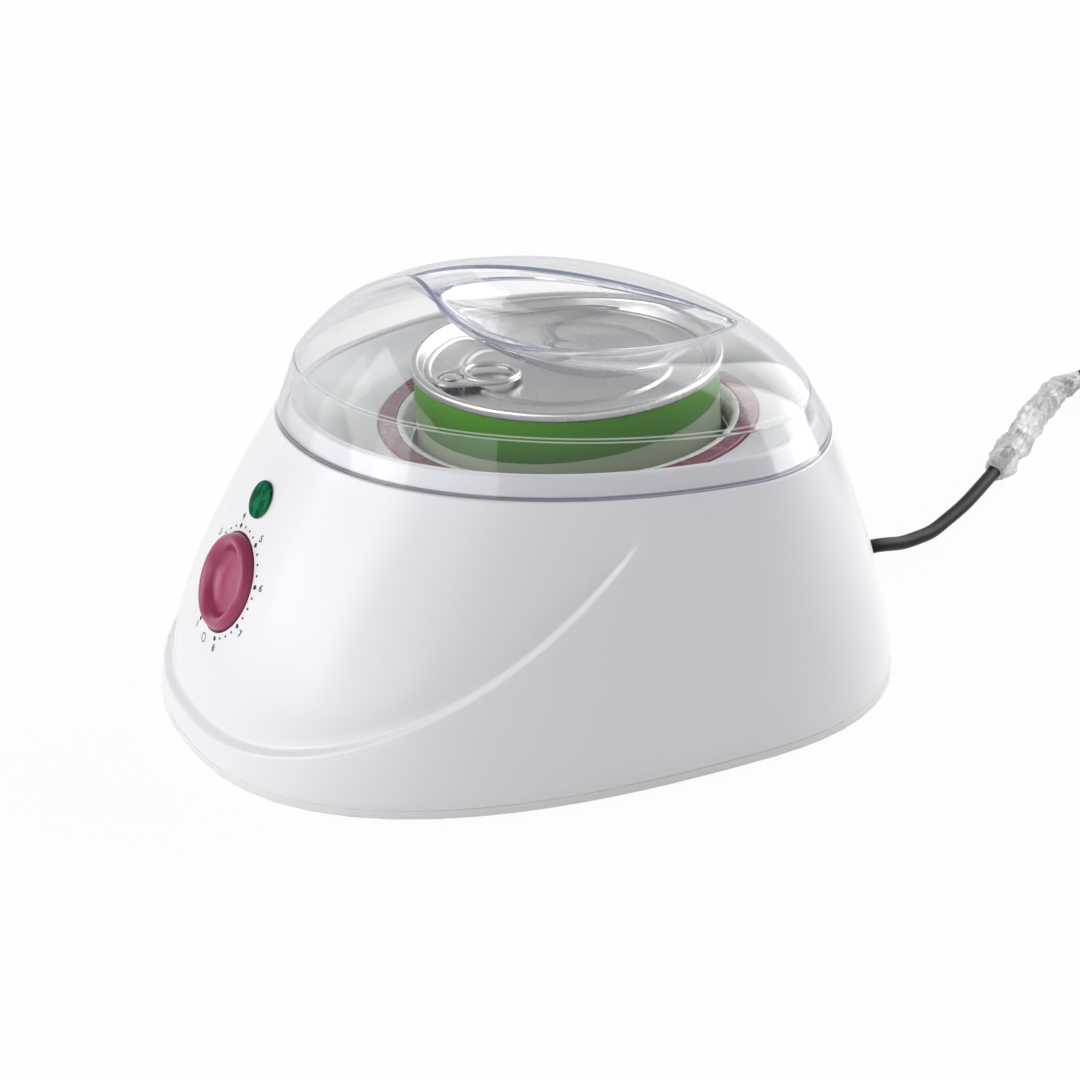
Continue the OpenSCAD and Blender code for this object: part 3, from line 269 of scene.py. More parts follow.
# Coil tie
# Flat strap of grey polyethylene closed round the bundled loops, as a new cord is shipped. It
# is one cut length, so it stays on the coil.
strap_w, strap_t = 6, 0.6
tie_w, tie_h = coil_step + cord_d / 2 + 0.3, lie + 0.5 + coil_rise + cord_d / 2 + 0.2
tie_at = Vector((coil_x + coil_r - coil_step * 1.5, coil_y, (tie_h + strap_t) / 2)) * MM
tie = shaped("coil_tie_strap", (2 * tie_w + 2 * strap_t, strap_w, tie_h + strap_t), tie_at)
bpy.ops.mesh.select_mode(type="FACE")
bpy.ops.mesh.select_all(action="DESELECT")
bpy.ops.object.mode_set(mode="OBJECT")
for face in tie.data.polygons:
    face.select = abs(face.normal.y) > 0.9
bpy.ops.object.mode_set(mode="EDIT")
bpy.ops.mesh.inset(thickness=0.55 * MM, use_individual=True)
bpy.ops.mesh.bridge_edge_loops()
rounded_off(tie, 0.2, 2)
# polyethylene: grey and half dull, with fine marks along the strap
strap = finish("polyethylene_strap", "#6d6e70", Roughness=0.42, IOR=1.51)
grain(strap, 0.9, None, (0.2, 0.1), stretch=(1, 6, 1))
tie.data.materials.append(strap)
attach(tie, "base")
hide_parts("coil_tie")


# Film sleeve
# Thin clear film left round the cord from its packing, gathered tight at its near end and
# crumpled into hard creases along its length.
def wrap(name, column, cols=288, shut=True):
    """A grid whose columns are bent round: column(angle) gives a column's points in mm."""
    rows = [column(360 * j / cols) for j in range(cols)]
    tall = len(rows[0])
    bpy.ops.object.select_all(action="DESELECT")
    bpy.ops.mesh.primitive_grid_add(x_subdivisions=cols, y_subdivisions=tall - 1, size=1)
    made = bpy.context.object
    made.name = name
    for vert in made.data.vertices:
        j = round((vert.co.x + 0.5) * cols) % cols
        vert.co = rows[j][round((vert.co.y + 0.5) * (tall - 1))] * MM
    bpy.ops.object.mode_set(mode="EDIT")
    bpy.ops.mesh.select_all(action="SELECT")
    bpy.ops.mesh.remove_doubles(threshold=1e-6)
    if shut:
        bpy.ops.mesh.normals_make_consistent(inside=False)
    bpy.ops.object.mode_set(mode="OBJECT")
    bpy.ops.object.shade_smooth_by_angle(angle=math.radians(38))
    return made


# the film covers the stretch of cord between these points of its line
film_line = [p / MM for p in bend([Vector(p) for p in run_out[38:59:2]], 5)]
film_len, film_t, film_neck, film_swell, folds = len(film_line), 0.12, 3.1, 2.5, 1.1


def film_column(angle):
    """The film from its near end to its far end, then back just inside itself."""
    out, ins = [], []
    a = math.radians(angle)
    for i, p in enumerate(film_line):
        t = (film_line[min(i + 1, film_len - 1)] - film_line[max(i - 1, 0)]).normalized()
        x = Vector((0, 0, 1)).cross(t).normalized()
        y = t.cross(x)
        end = min(i, film_len - 1 - i) / 6
        wide = film_neck + film_swell * min(1, end) ** 0.6
        at = Vector((math.cos(a) * folds, math.sin(a) * folds, i * 0.16))
        fold = noise.noise(at) + 0.55 * abs(noise.noise(at * 2.3)) * 2 - 0.4
        wide *= 1 + 0.3 * fold
        for radius, kept in ((wide, out), (wide - film_t, ins)):
            q = p + (x * math.cos(a) + y * math.sin(a)) * max(radius, lie + 0.15)
            q.z = max(q.z, 0.06)
            kept.append(q)
    return out + ins[::-1] + out[:1]


film = wrap("film_sleeve", film_column, 56)
bpy.ops.object.shade_smooth_by_angle(angle=math.radians(24))
# polypropylene film: water clear, with sharp glints from every crease
clear_film = finish("polypropylene_film", "#f4f5f7", IOR=1.35, Alpha=0.5)
crumple = grain(clear_film, 9, (0.03, 0.2))
add(clear_film, "MapRange", "Alpha", values={"Value": crumple, "From Min": 0.4, "From Max": 0.6,
                                             "To Min": 0.3, "To Max": 0.8})
film.data.materials.append(clear_film)
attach(film, "base")
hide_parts("cord_sleeve")


# Strain relief
# Ribbed vinyl sleeve moulded on the cord, thinner towards its end so that it bends with it,
# with a groove that the housing's back wall snaps into.
def lathe(name, section, centre=(0, 0, 0), axis=(0, 0, 1), steps=192, angle=38):
    """A closed outline of (radius, height) pairs in mm, spun once round an axis in metres."""
    bpy.ops.object.select_all(action="DESELECT")
    bpy.ops.mesh.primitive_circle_add(vertices=len(section), radius=1, fill_type="NOTHING")
    made = bpy.context.object
    made.name = name
    turned = Vector((0, 0, 1)).rotation_difference(Vector(axis))
    for vert, (r, z) in zip(made.data.vertices, section):
        vert.co = Vector(centre) + turned @ Vector((r, 0, z)) * MM
    bpy.ops.object.mode_set(mode="EDIT")
    bpy.ops.mesh.select_all(action="SELECT")
    bpy.ops.mesh.spin(steps=steps, angle=2 * math.pi, center=centre, axis=axis)
    bpy.ops.mesh.select_all(action="SELECT")
    bpy.ops.mesh.remove_doubles(threshold=2e-6)
    bpy.ops.mesh.delete_loose()
    bpy.ops.mesh.select_all(action="SELECT")
    bpy.ops.mesh.normals_make_consistent(inside=False)
    bpy.ops.object.mode_set(mode="OBJECT")
    bpy.ops.object.shade_smooth_by_angle(angle=math.radians(angle))
    return made


def eased(points, steps=4, closed=True):
    """Rounds the corners of an outline: each point is (its coordinates..., corner size)."""
    line, count = [], len(points)
    for i, point in enumerate(points):
        at, size = Vector(point[:-1]), point[-1]
        if size <= 0 or (not closed and i in (0, count - 1)):
            line.append(at)
            continue
        before, after = Vector(points[i - 1][:-1]), Vector(points[(i + 1) % count][:-1])
        a = at + (before - at).normalized() * min(size, (before - at).length * 0.48)
        b = at + (after - at).normalized() * min(size, (after - at).length * 0.48)
        for k in range(steps + 1):
            t = k / steps
            line.append(a * (1 - t) ** 2 + at * 2 * t * (1 - t) + b * t * t)
    return line


wall, ribs, collar_end = 2.6, 6, 1.8
neck, core = (cord_d + 4) / 2, cord_d / 2 + 0.25
collar_r = neck + 1.4
outline = [(core, -wall - 4, 0.2), (collar_r, -wall - 4, 0.3), (collar_r, -wall - 2.4, 0.2),
           (neck, -wall - 2.4, 0.1), (neck, 0.2, 0.1), (collar_r, 0.2, 0.2),
           (collar_r, collar_end, 0.5)]
pitch = (bush_out - collar_end) / ribs
for i in range(ribs):
    q, at = neck - 0.1 - i * 0.12, collar_end + i * pitch
    outline += [(q, at + 0.1, 0.2), (q, at + pitch * 0.55, 0.3),
                (q - 0.6, at + pitch * 0.62, 0.15), (q - 0.6, at + pitch, 0.15)]
outline += [(core + 0.15, bush_out, 0.2), (core, bush_out - 2, 0)]
bush = lathe("strain_relief", eased(outline, 3), Vector((0, back_y, cord_z)) * MM, (0, 1, 0), 64)
bush.data.materials.append(vinyl)
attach(bush, "base")
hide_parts("cord_bush")


# Housing
# One hollow shell moulded in glossy white ABS: a leaning wall with a raised bib that sweeps
# round its front, a ledge and collar for the lid, and a bowl down to the pot. Its top is open.
base_w, base_widest, base_square, part_z = 203, 34, 2.5, 4.8
rim_w, rim_front, rim_back, rim_widest, rim_square = 176, 44 - back_y, back_y - 16.5, 42, 2.1
rim_z, rim_tilt, collar_in, collar_h, collar_edge = 91.2, 3.5, 4.2, 6.8, 8.8
bib_depth, bib_end, bib_low, bib_high, bib_step = 1.8, 67.5, 0.08, 0.84, 0.03
bib_sweep, bib_fade, hollow_in, hollow_up, bowl_curve = 1.17, 16, 1.1, 0.1, 2.1
can_y, can_r, seat_r, ring_in, ring_out = 22.1, 49.5, 68.4, 56.6, 62.2
deck_z, ring_z, can_top, hole_r = 87.2, 85.4, 107.9, 57.6


def sind(a):
    return math.sin(math.radians(a))


def cosd(a):
    return math.cos(math.radians(a))


def oval(a, half_w, front, rear, widest, square):
    """A point on an egg-like outline that is widest where it says; the angle 0 is the front."""
    reach = widest - front if cosd(a) > 0 else rear - widest
    r = ((abs(cosd(a)) / reach) ** square + (abs(sind(a)) / half_w) ** square) ** (-1 / square)
    return Vector((r * sind(a), widest - r * cosd(a), 0))


def inward(a, size):
    return Vector((-sind(a), cosd(a), 0)) * size


def base_pt(a):
    return oval(a, base_w / 2, -back_y, back_y, base_widest, base_square)


def rim_pt(a, inset=0, up=0):
    q = oval(a, rim_w / 2, rim_front, rim_back, rim_widest, rim_square) + inward(a, inset)
    q.z = rim_z - math.tan(math.radians(rim_tilt)) * (q.y - can_y) + up
    return q


def ring_pt(a, r, z):
    return Vector((r * sind(a), can_y - r * cosd(a), z))


def bib_at(a):
    """How far up the wall the bib's edge runs at this angle, and how proud it stands there."""
    side = min(a, 360 - a)
    t = min(1, (1 - cosd(side)) / (1 - cosd(bib_end)))
    return (bib_low + (bib_high - bib_low) * t ** bib_sweep,
            1 - min(1, side / bib_end) ** bib_fade)


def wall_pt(a, s, inset=0):
    """A point on the outer wall, s of the way up from its bottom edge to the ledge; above the
    bib's edge the wall steps in and has a shallow hollow, which fades out further up."""
    edge, proud = bib_at(a)
    foot, top = base_pt(a), rim_pt(a)
    if s > edge:
        k = min(1, (s - edge) / bib_step)
        hollow = hollow_in * math.exp(-((s - edge) / hollow_up) ** 2)
        inset += ((bib_depth * (1 - (s - edge) / (1 - edge)) + hollow) * proud
                  * k * k * (3 - 2 * k))
    q = foot.lerp(Vector((top.x, top.y, 0)), s ** 1.5) + inward(a, inset)
    q.z = part_z + (top.z - part_z) * s
    return q


def panel_y(z):
    """Where the front panel lies on the middle line at this height."""
    return wall_pt(0, (z - part_z) / (rim_pt(0).z - part_z)).y


def housing_column(a):
    edge, proud = bib_at(a)
    end = edge + bib_step
    climb = [wall_pt(a, 0, 0.5), wall_pt(a, 0.0012, 0.15), wall_pt(a, 0.005)]
    climb += [wall_pt(a, edge * k) for k in
              (0.1, 0.2, 0.3, 0.4, 0.5, 0.6, 0.7, 0.78, 0.85, 0.91, 0.96, 0.985)]
    climb += [wall_pt(a, edge + bib_step * k / 8) for k in range(8)]
    climb += [wall_pt(a, end + (0.992 - end) * k / 22) for k in range(23)]
    top = [(*wall_pt(a, 0.992), 0), (*rim_pt(a, 0, 0.35), 0.7),
           (*rim_pt(a, collar_in, 0.35), 0.6), (*rim_pt(a, collar_in + 2.1, collar_h), 1.2),
           (*rim_pt(a, collar_edge, collar_h), 1.4), (*rim_pt(a, collar_edge, collar_h - 1.6), 0)]
    lip, seat = rim_pt(a, collar_edge, collar_h - 0.8), ring_pt(a, seat_r, deck_z)
    bowl = []
    for k in (0.05, 0.1, 0.16, 0.23, 0.31, 0.4, 0.5, 0.6, 0.7, 0.79, 0.87, 0.94, 1):
        q = lip.lerp(seat, k)
        q.z = deck_z + (lip.z - deck_z) * (1 - k) ** bowl_curve
        bowl.append(q)
    inner = [(*seat, 0), (*ring_pt(a, ring_out + 0.3, deck_z), 0.5),
             (*ring_pt(a, ring_out + 0.3, ring_z), 0.3), (*ring_pt(a, hole_r, ring_z), 0.4),
             (*ring_pt(a, hole_r, ring_z - wall), 0.3), (*ring_pt(a, seat_r, ring_z - wall), 2)]
    q = lip.lerp(seat, 0.42)
    q.z = deck_z + (lip.z - deck_z) * 0.58 ** bowl_curve - wall * 1.15
    down = [q, rim_pt(a, collar_in + wall * 1.5, 1 - wall), rim_pt(a, wall + 0.6, -wall)]
    for k in (0.85, 0.62, 0.42, 0.24, 0.1, 0):
        q = wall_pt(a, k)
        down.append(q + inward(a, wall + bib_depth * proud * (1 - k) * (k <= edge)))
    return (climb + eased(top, closed=False)[1:] + bowl[:-1] + eased(inner, 3, False) + down
            + climb[:1])


housing = wrap("moulded_housing", housing_column)


def drum(name, radius, low, high, place, tilt, fall=0):
    """A cylinder in mm on the panel, from low to high over it; its top may fall to the sides."""
    bpy.ops.object.select_all(action="DESELECT")
    bpy.ops.mesh.primitive_cylinder_add(vertices=96, radius=radius, depth=high - low,
                                        location=(0, 0, 0))
    made = bpy.context.object
    made.name = name
    for vert in made.data.vertices:
        vert.co.z += (low + high) / 2 - (fall * vert.co.x ** 2 if vert.co.z > 0 else 0)
    made.matrix_world = Matrix.Translation(Vector(place) * MM) @ Matrix.Rotation(
        math.radians(90 - tilt), 4, "X") @ Matrix.Scale(MM, 4)
    bpy.ops.object.transform_apply(location=True, rotation=True, scale=True)
    return made


# a cup behind the panel holds the knob's well; its edge ends inside the falling panel
dial_z, dial_tilt, lamp_z, lamp_d, lamp_tilt = 55.2, 25, 80.4, 12.6, 31
knob_r, well_d, well_gap, well_wall, panel_fall = 16.1, 4.4, 0.6, 2.2, 0.00424
shaft_r, drill = 5, 12
on_panel = (0, panel_y(dial_z), dial_z)
dial_out = Vector((0, -cosd(dial_tilt), sind(dial_tilt)))
well_floor = Vector(on_panel) - dial_out * well_d
for name, how, radius, low, high, place, tilt in (
        ("cup", "UNION", knob_r + well_gap + well_wall, -wall, well_d - wall * 0.6, well_floor,
         dial_tilt),
        ("well", "DIFFERENCE", knob_r + well_gap, 0, 30, well_floor, dial_tilt),
        ("shaft_hole", "DIFFERENCE", shaft_r, -drill, drill, well_floor, dial_tilt),
        ("lamp_hole", "DIFFERENCE", lamp_d / 2 - 0.8, -drill, drill,
         (0, panel_y(lamp_z), lamp_z), lamp_tilt),
        ("cord_hole", "DIFFERENCE", neck + 0.1, -drill, drill, (0, back_y, cord_z), 0)):
    tool = drum(name, radius, low, high, place, tilt, panel_fall if how == "UNION" else 0)
    only(housing)
    cut = housing.modifiers.new("cut", "BOOLEAN")
    cut.object, cut.operation, cut.solver = tool, how, "EXACT"
    bpy.ops.object.modifier_apply(modifier="cut")
    bpy.data.objects.remove(tool)
only(housing)
bpy.ops.object.shade_smooth_by_angle(angle=math.radians(38))

# ABS from a polished mould: bright and even, with the faint ripple of a thick moulded wall
white_abs = finish("gloss_white_abs", "#efeef2", IOR=1.53)
grain(white_abs, 22, None, (0.25, 0.25))
grain(white_abs, 3, (0.18, 0.26))
housing.data.materials.append(white_abs)
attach(housing, "base")
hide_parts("housing")


# Bottom tray and its fixings
# A shallow ABS tray closes the shell from below on four screws. It stands on rubber feet, and
# slots in its floor let cool air in under the pot.
def polished(node, name, mat, body="base", smooth=35, round_mm=0):
    """A copy of a solid with its loose faces joined, its edges eased and a finish put on."""
    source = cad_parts[node]
    made = bpy.data.objects.new(name, source.data.copy())
    bpy.context.scene.collection.objects.link(made)
    only(made)
    bpy.ops.object.mode_set(mode="EDIT")
    bpy.ops.mesh.select_all(action="SELECT")
    bpy.ops.mesh.remove_doubles(threshold=1e-5)
    bpy.ops.mesh.dissolve_limited(angle_limit=math.radians(0.5))
    bpy.ops.object.mode_set(mode="OBJECT")
    if round_mm:
        rounded_off(made, round_mm, 2)
    bpy.ops.object.shade_smooth_by_angle(angle=math.radians(smooth))
    made.data.materials.clear()
    made.data.materials.append(mat)
    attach(made, body)
    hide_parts(node)


# the tray is the same ABS, from a mould with a light spark grain
tray_abs = finish("grained_white_abs", "#e9e9ea", IOR=1.53)
grain(tray_abs, 0.5, (0.24, 0.4), (0.15, 0.05))
polished("base_plate", "bottom_tray", tray_abs, round_mm=0.35)

# moulded rubber: dull and slightly chalky
rubber = finish("grey_rubber", "#4a4b4d", IOR=1.52)
grain(rubber, 0.8, (0.62, 0.88), (0.3, 0.1))
polished("base_feet", "rubber_feet", rubber, round_mm=0.4)

# zinc plated steel: bright grey with a faint brushed unevenness
zinc = finish("zinc_plated_steel", "#b9bcc0", Metallic=1.0)
grain(zinc, 1.5, (0.2, 0.42))
polished("base_screws", "tray_screws", zinc)


# Temperature dial
# The scale is pad printed in black ink on the front panel: a dot for every setting, three
# small ones between each two, plain numbers outside them, and a ring at the off place.
dial_at = Vector((0, panel_y(dial_z), dial_z)) * MM
dial_up = Vector((0, sind(dial_tilt), cosd(dial_tilt)))
skin, ink_t = BVHTree.FromObject(housing, bpy.context.evaluated_depsgraph_get()), 0.06


def on_dial(angle, r):
    """A place over the panel, so far round clockwise from the top and so far out in mm."""
    return dial_at + (Vector((sind(angle), 0, 0)) + dial_up * cosd(angle)) * r * MM


def printed(made, place):
    """Turns flat ink to face along the dial, and lays it down on the panel."""
    for vert in made.data.vertices:
        at = place + Vector((vert.co.x, 0, 0)) + dial_up * vert.co.y
        hit = skin.ray_cast(at + dial_out * 30 * MM, -dial_out)[0]
        vert.co = hit + dial_out * ink_t * MM


ink_pieces = []


def dot(angle, r, wide, hole=0):
    """A printed dot so many mm wide, or a ring if it has a hole."""
    bpy.ops.object.select_all(action="DESELECT")
    bpy.ops.mesh.primitive_circle_add(vertices=28, radius=wide / 2 * MM, fill_type="NGON")
    made = bpy.context.object
    if hole:
        bpy.ops.object.mode_set(mode="EDIT")
        bpy.ops.mesh.inset(thickness=(wide - hole) / 2 * MM)
        bpy.ops.mesh.delete(type="FACE")
        bpy.ops.object.mode_set(mode="OBJECT")
    printed(made, on_dial(angle, r))
    ink_pieces.append(made)


settings, first, gap, off_at = 8, 207.5, 45, 186
dots_r, figures_r, ring_r = 18.44, knob_r * 1.34, knob_r * 1.28
small_dot, big_dot, off_ring, off_hole, figure_h, bolder = 0.9, 1.6, 3.2, 2.5, 3.3, 0.07
for i in range(settings):
    dot(first + gap * i, dots_r, big_dot)
    for k in (1, 2, 3):
        if i < settings - 1:
            dot(first + gap * (i + k / 4), dots_r, small_dot)
    bpy.ops.object.select_all(action="DESELECT")
    bpy.ops.object.text_add()
    figure = bpy.context.object
    figure.data.body = str(i + 1)
    figure.data.size = figure_h * MM
    figure.data.offset = bolder * MM
    figure.data.align_x, figure.data.align_y = "CENTER", "CENTER"
    bpy.ops.object.convert(target="MESH")
    printed(figure, on_dial(first + gap * i, figures_r))
    ink_pieces.append(figure)
dot(off_at, ring_r, off_ring, off_hole)
bpy.ops.object.select_all(action="DESELECT")
for made in ink_pieces:
    made.select_set(True)
bpy.context.view_layer.objects.active = ink_pieces[0]
bpy.ops.object.join()
scale = bpy.context.object
scale.name = "printed_scale"
scale.matrix_world = Matrix.Identity(4)
# pad printing ink: a thin dull film, a little uneven where the pad lifted
ink = finish("pad_printing_ink", "#202024", IOR=1.48)
grain(ink, 0.4, (0.45, 0.7))
scale.data.materials.clear()
scale.data.materials.append(ink)
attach(scale, "base")


# Knob
# Round knob moulded in glossy mauve pink ABS: a broad rolled rim round a deep dish for the
# fingertip, pushed on the thermostat's shaft just clear of the panel.
knob_h, knob_gap, dish = 7, 0.7, 4.6
r, h, g = knob_r, knob_h, knob_gap
outline = [(0, -wall, 0), (4.5, -wall, 0.3), (4.5, g + 0.5, 0.2), (r - 2.2, g + 0.5, 0.3),
           (r - 1.7, g, 0.3), (r - 0.3, g, 0.3), (r, g + 0.8, 0.4)]
outline += [(r - 2.4 + 2.4 * cosd(t), h - 4.2 + 4.2 * sind(t), 0) for t in range(6, 91, 7)]
outline += [(r - 3.3, h - 0.2, 0.4), (r - 4, h - 0.7, 0.6), (r - 4.9, h - 1.7, 0.8),
            (r - 5.8, h - dish + 1.2, 0.8), (r - 7, h - dish + 0.4, 1), (r - 9, h - dish, 1),
            (0, h - dish, 0)]
knob = lathe("dial_knob", eased(outline, 5), well_floor * MM, dial_out, 144, 50)
# pigmented ABS: glossy, with faint swirls of the pigment and a gloss that varies in fine blotches
pink_abs = finish("mauve_pink_abs", "#b5527f", IOR=1.53)
add(pink_abs, "Mix", "Base Color", 2, data_type="RGBA",
    values={0: grain(pink_abs, 9), 6: linear("#932550"), 7: linear("#b03f6c")})
grain(pink_abs, 1.4, (0.16, 0.3))
knob.data.materials.append(pink_abs)
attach(knob, "dial")
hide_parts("knob")


# Pilot lamp
# Domed lens in clear green polycarbonate over a neon lamp in a black nylon body, pressed into
# the panel above the dial. Flutes inside the lens scatter the light.
lamp_at = Vector((0, panel_y(lamp_z), lamp_z)) * MM
lamp_out = Vector((0, -cosd(lamp_tilt), sind(lamp_tilt)))
r = lamp_d / 2
outline = [(0, -3.2, 0), (r - 2.4, -3.2, 0.2), (r - 2.2, -0.2, 0.2), (r - 1, 0.5, 0.2),
           (r, 0.5, 0.2), (r, 0.8, 0.2)]
outline += [(r * cosd(t), 0.8 + 1.2 * sind(t), 0) for t in range(12, 91, 6)]
lens = lathe("lamp_lens_green", eased(outline, 3), lamp_at, lamp_out, 96, 50)
# polycarbonate: deep clear green, lighter in the flutes, with a thin gloss over it
green_pc = finish("green_polycarbonate", "#006a42", Roughness=0.3, IOR=1.58,
                  Specular_IOR_Level=0.0, Coat_Weight=0.15, Coat_Roughness=0.05)
flutes = grain(green_pc, 5, None, (0.5, 0.6), (3, 1, 1))
pale = add(green_pc, "MapRange", values={"Value": flutes, "From Min": 0.42, "From Max": 0.56})
add(green_pc, "Mix", "Base Color", 2, data_type="RGBA",
    values={0: pale, 6: linear("#004a2c"), 7: linear("#007c4f")})
lens.data.materials.append(green_pc)
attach(lens, "base")
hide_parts("lamp_lens")


# Inner parts
# What the housing hides keeps its solids: the steel pot stand, the mica heater with its strap
# and fuse, the bakelite thermostat with its copper bulb, and the terminals and wires.
def plain(mat_name, colour, size, nodes, low, high, **values):
    """A finish with a fine unevenness in its gloss, given to solids that keep their shape."""
    mat = finish(mat_name, colour, **values)
    grain(mat, size, (low, high), (0.15, 0.05))
    for name in nodes:
        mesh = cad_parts[name].data
        mesh.materials.clear()
        mesh.materials.append(mat)


# galvanised sheet is a mottled grey, and steel fixings a little brighter
plain("galvanised_sheet", "#a9adb0", 4, ("pot_support", "band_clamp"), 0.3, 0.55, Metallic=1.0)
plain("steel_fixings", "#b4b6b9", 1, ("clamp_screws", "thermostat_screws"), 0.22, 0.4,
      Metallic=1.0)
# mica is a dull flaky brown, and the fuse a brassy can
plain("mica_sheet", "#8c7350", 2, ("heater_band",), 0.3, 0.6, IOR=1.58)
plain("fuse_case", "#c9b27a", 1, ("thermal_fuse",), 0.2, 0.4, Metallic=1.0)
# bakelite has a brown black gloss, turned steel is bright, and drawn copper warm
plain("brown_bakelite", "#3a2218", 1, ("thermostat",), 0.25, 0.45, IOR=1.6)
plain("turned_steel", "#c2c3c5", 0.4, ("thermostat_shaft",), 0.18, 0.35, Metallic=1.0)
plain("drawn_copper", "#b36a43", 0.6, ("sensor_bulb", "capillary_tube"), 0.25, 0.45,
      Metallic=1.0)
# nylon looks waxy, glazed ceramic wet, glass fibre dull, and vinyl softly glossy
plain("black_nylon", "#1d1d1f", 0.8, ("lamp_body",), 0.35, 0.55, IOR=1.53)
plain("glazed_ceramic", "#ece8df", 2, ("terminal_block",), 0.12, 0.3, IOR=1.55)
plain("natural_nylon", "#e3dfd2", 1, ("cord_clamp",), 0.3, 0.5, IOR=1.53)
plain("glass_fibre_sleeve", "#a04a3c", 0.5, ("heater_leads",), 0.6, 0.85)
plain("pvc_insulation", "#5f6f8f", 0.5, ("mains_leads", "lamp_leads"), 0.35, 0.5, IOR=1.5)


# Pot, funnel lip and ring
# A drawn aluminium pot hangs from the white nylon funnel lip that guides the tin in. A mauve
# pink ring trims the gap round it, and a silicone gasket under both keeps the heat off.
pot_r, pot_t, pot_floor, flange_z = 51.6, 1.5, 39.7, 79.2
pot_out, f = pot_r + pot_t, pot_floor - pot_t
outline = [(0, f, 0), (pot_out, f, 2.4), (pot_out, flange_z - 1.6, 0.6),
           (ring_in - 0.2, flange_z - 1.6, 0.3), (ring_in - 0.2, flange_z, 0.3),
           (pot_r, flange_z, 0.6), (pot_r, pot_floor, 1.8), (0, pot_floor, 0)]
centre = Vector((0, can_y, 0)) * MM
pot = lathe("drawn_pot", eased(outline, 4), centre)
# bare aluminium: turned rings round the middle draw the light out across them
bare_alu = finish("spun_aluminium", "#b9bbbd", Metallic=1.0)
place = add(bare_alu, "TexCoord")
spun = add(bare_alu, "Mapping", values={"Vector": place.outputs["Object"],
                                        "Location": (0, -can_y * MM, 0)})
rings = add(bare_alu, "TexWave", wave_type="RINGS", rings_direction="Z",
            values={"Vector": spun, "Scale": 320.0, "Distortion": 1.5, "Detail": 2.0})
add(bare_alu, "MapRange", "Roughness", values={"Value": rings.outputs["Fac"], "To Min": 0.28,
                                               "To Max": 0.45})
add(bare_alu, "Bump", "Normal", values={"Height": rings.outputs["Fac"], "Strength": 0.1,
                                        "Distance": 0.05 * MM})
pot.data.materials.append(bare_alu)
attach(pot, "base")
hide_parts("heating_pot")

outline = [(pot_r + 0.6, flange_z, 0.2), (ring_in - 0.2, flange_z, 0.3),
           (ring_in - 0.2, ring_z + 2.4, 1.2), (ring_in - 2.6, ring_z + 2.3, 1.2),
           (pot_r + 1, deck_z - 3.4, 1.2), (pot_r + 0.6, deck_z - 4.6, 0.6)]
lip = lathe("funnel_lip", eased(outline, 5), centre)
# nylon: warm white and satin, a little cloudy
nylon = finish("white_nylon", "#ecebe8", IOR=1.53)
grain(nylon, 4, (0.2, 0.36))
lip.data.materials.append(nylon)
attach(lip, "base")
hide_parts("pot_lip")

outline = [(ring_in, ring_z, 0.2), (ring_out, ring_z, 0.2), (ring_out, ring_z + 2.6, 0.9),
           (ring_in, ring_z + 2.6, 0.9)]
ring = lathe("pink_ring", eased(outline, 5), centre)
# the knob's ABS, painted a darker colour than the knob as shade where the lid keeps the light off
# it
ring_abs = finish("mauve_ring_abs", "#82304e", IOR=1.53, Specular_IOR_Level=0.3)
grain(ring_abs, 5, (0.18, 0.34))
ring.data.materials.append(ring_abs)
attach(ring, "base")
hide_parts("pot_ring")

# silicone: milky and dull
plain("silicone_gasket", "#d8d4cc", 1.5, ("pot_gasket",), 0.5, 0.7, IOR=1.42)


# Tin of wax
# A 400 ml food tin: drawn tinplate body in a printed paper label, full of cooled wax, with an
# aluminium easy-open end that is rolled on as a double seam.
can_h, seam_h, panel_z, sheet_t = 68, 3, 103.9, 0.5
can_z, seam_z = can_top - can_h, can_top - seam_h
r = can_r
outline = [(0, can_z + 2.4, 0), (r - 6, can_z + 2.4, 1.2), (r - 4.4, can_z, 1), (r, can_z, 0.8),
           (r, seam_z, 0), (r - 0.5, seam_z, 0), (r - 0.5, can_z + 0.5, 0.6),
           (r - 4, can_z + 0.5, 1), (r - 5.6, can_z + 2.9, 1), (0, can_z + 2.9, 0)]
tin = lathe("tin_body", eased(outline, 4), centre)
# tinplate: bright steel grey, with dull streaks down it from drawing
tinplate = finish("tinplate", "#c3c5c7", Metallic=1.0)
grain(tinplate, 6, (0.18, 0.36), stretch=(1, 1, 0.3))
tin.data.materials.append(tinplate)
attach(tin, "tin")
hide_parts("can_body")

# printed paper label: green that grows lighter towards the top, over a pale band whose edge
# rises a little to the back, under a thin varnish
outline = [(r + 0.05, can_z + 1.4, 0), (r + 0.3, can_z + 1.4, 0.1), (r + 0.3, seam_z - 0.4, 0.1),
           (r + 0.05, seam_z - 0.4, 0)]
label = lathe("paper_label", eased(outline, 3), centre)
paper = finish("varnished_paper", "#3f7d12", Roughness=0.35, IOR=1.5, Specular_IOR_Level=0.25,
               Coat_Weight=0.12, Coat_Roughness=0.12)
place = add(paper, "TexCoord")
local = add(paper, "Mapping", values={"Vector": place.outputs["Object"],
                                      "Location": (0, -can_y * MM, 0)})
x, y, z = add(paper, "SeparateXYZ", values={0: local}).outputs
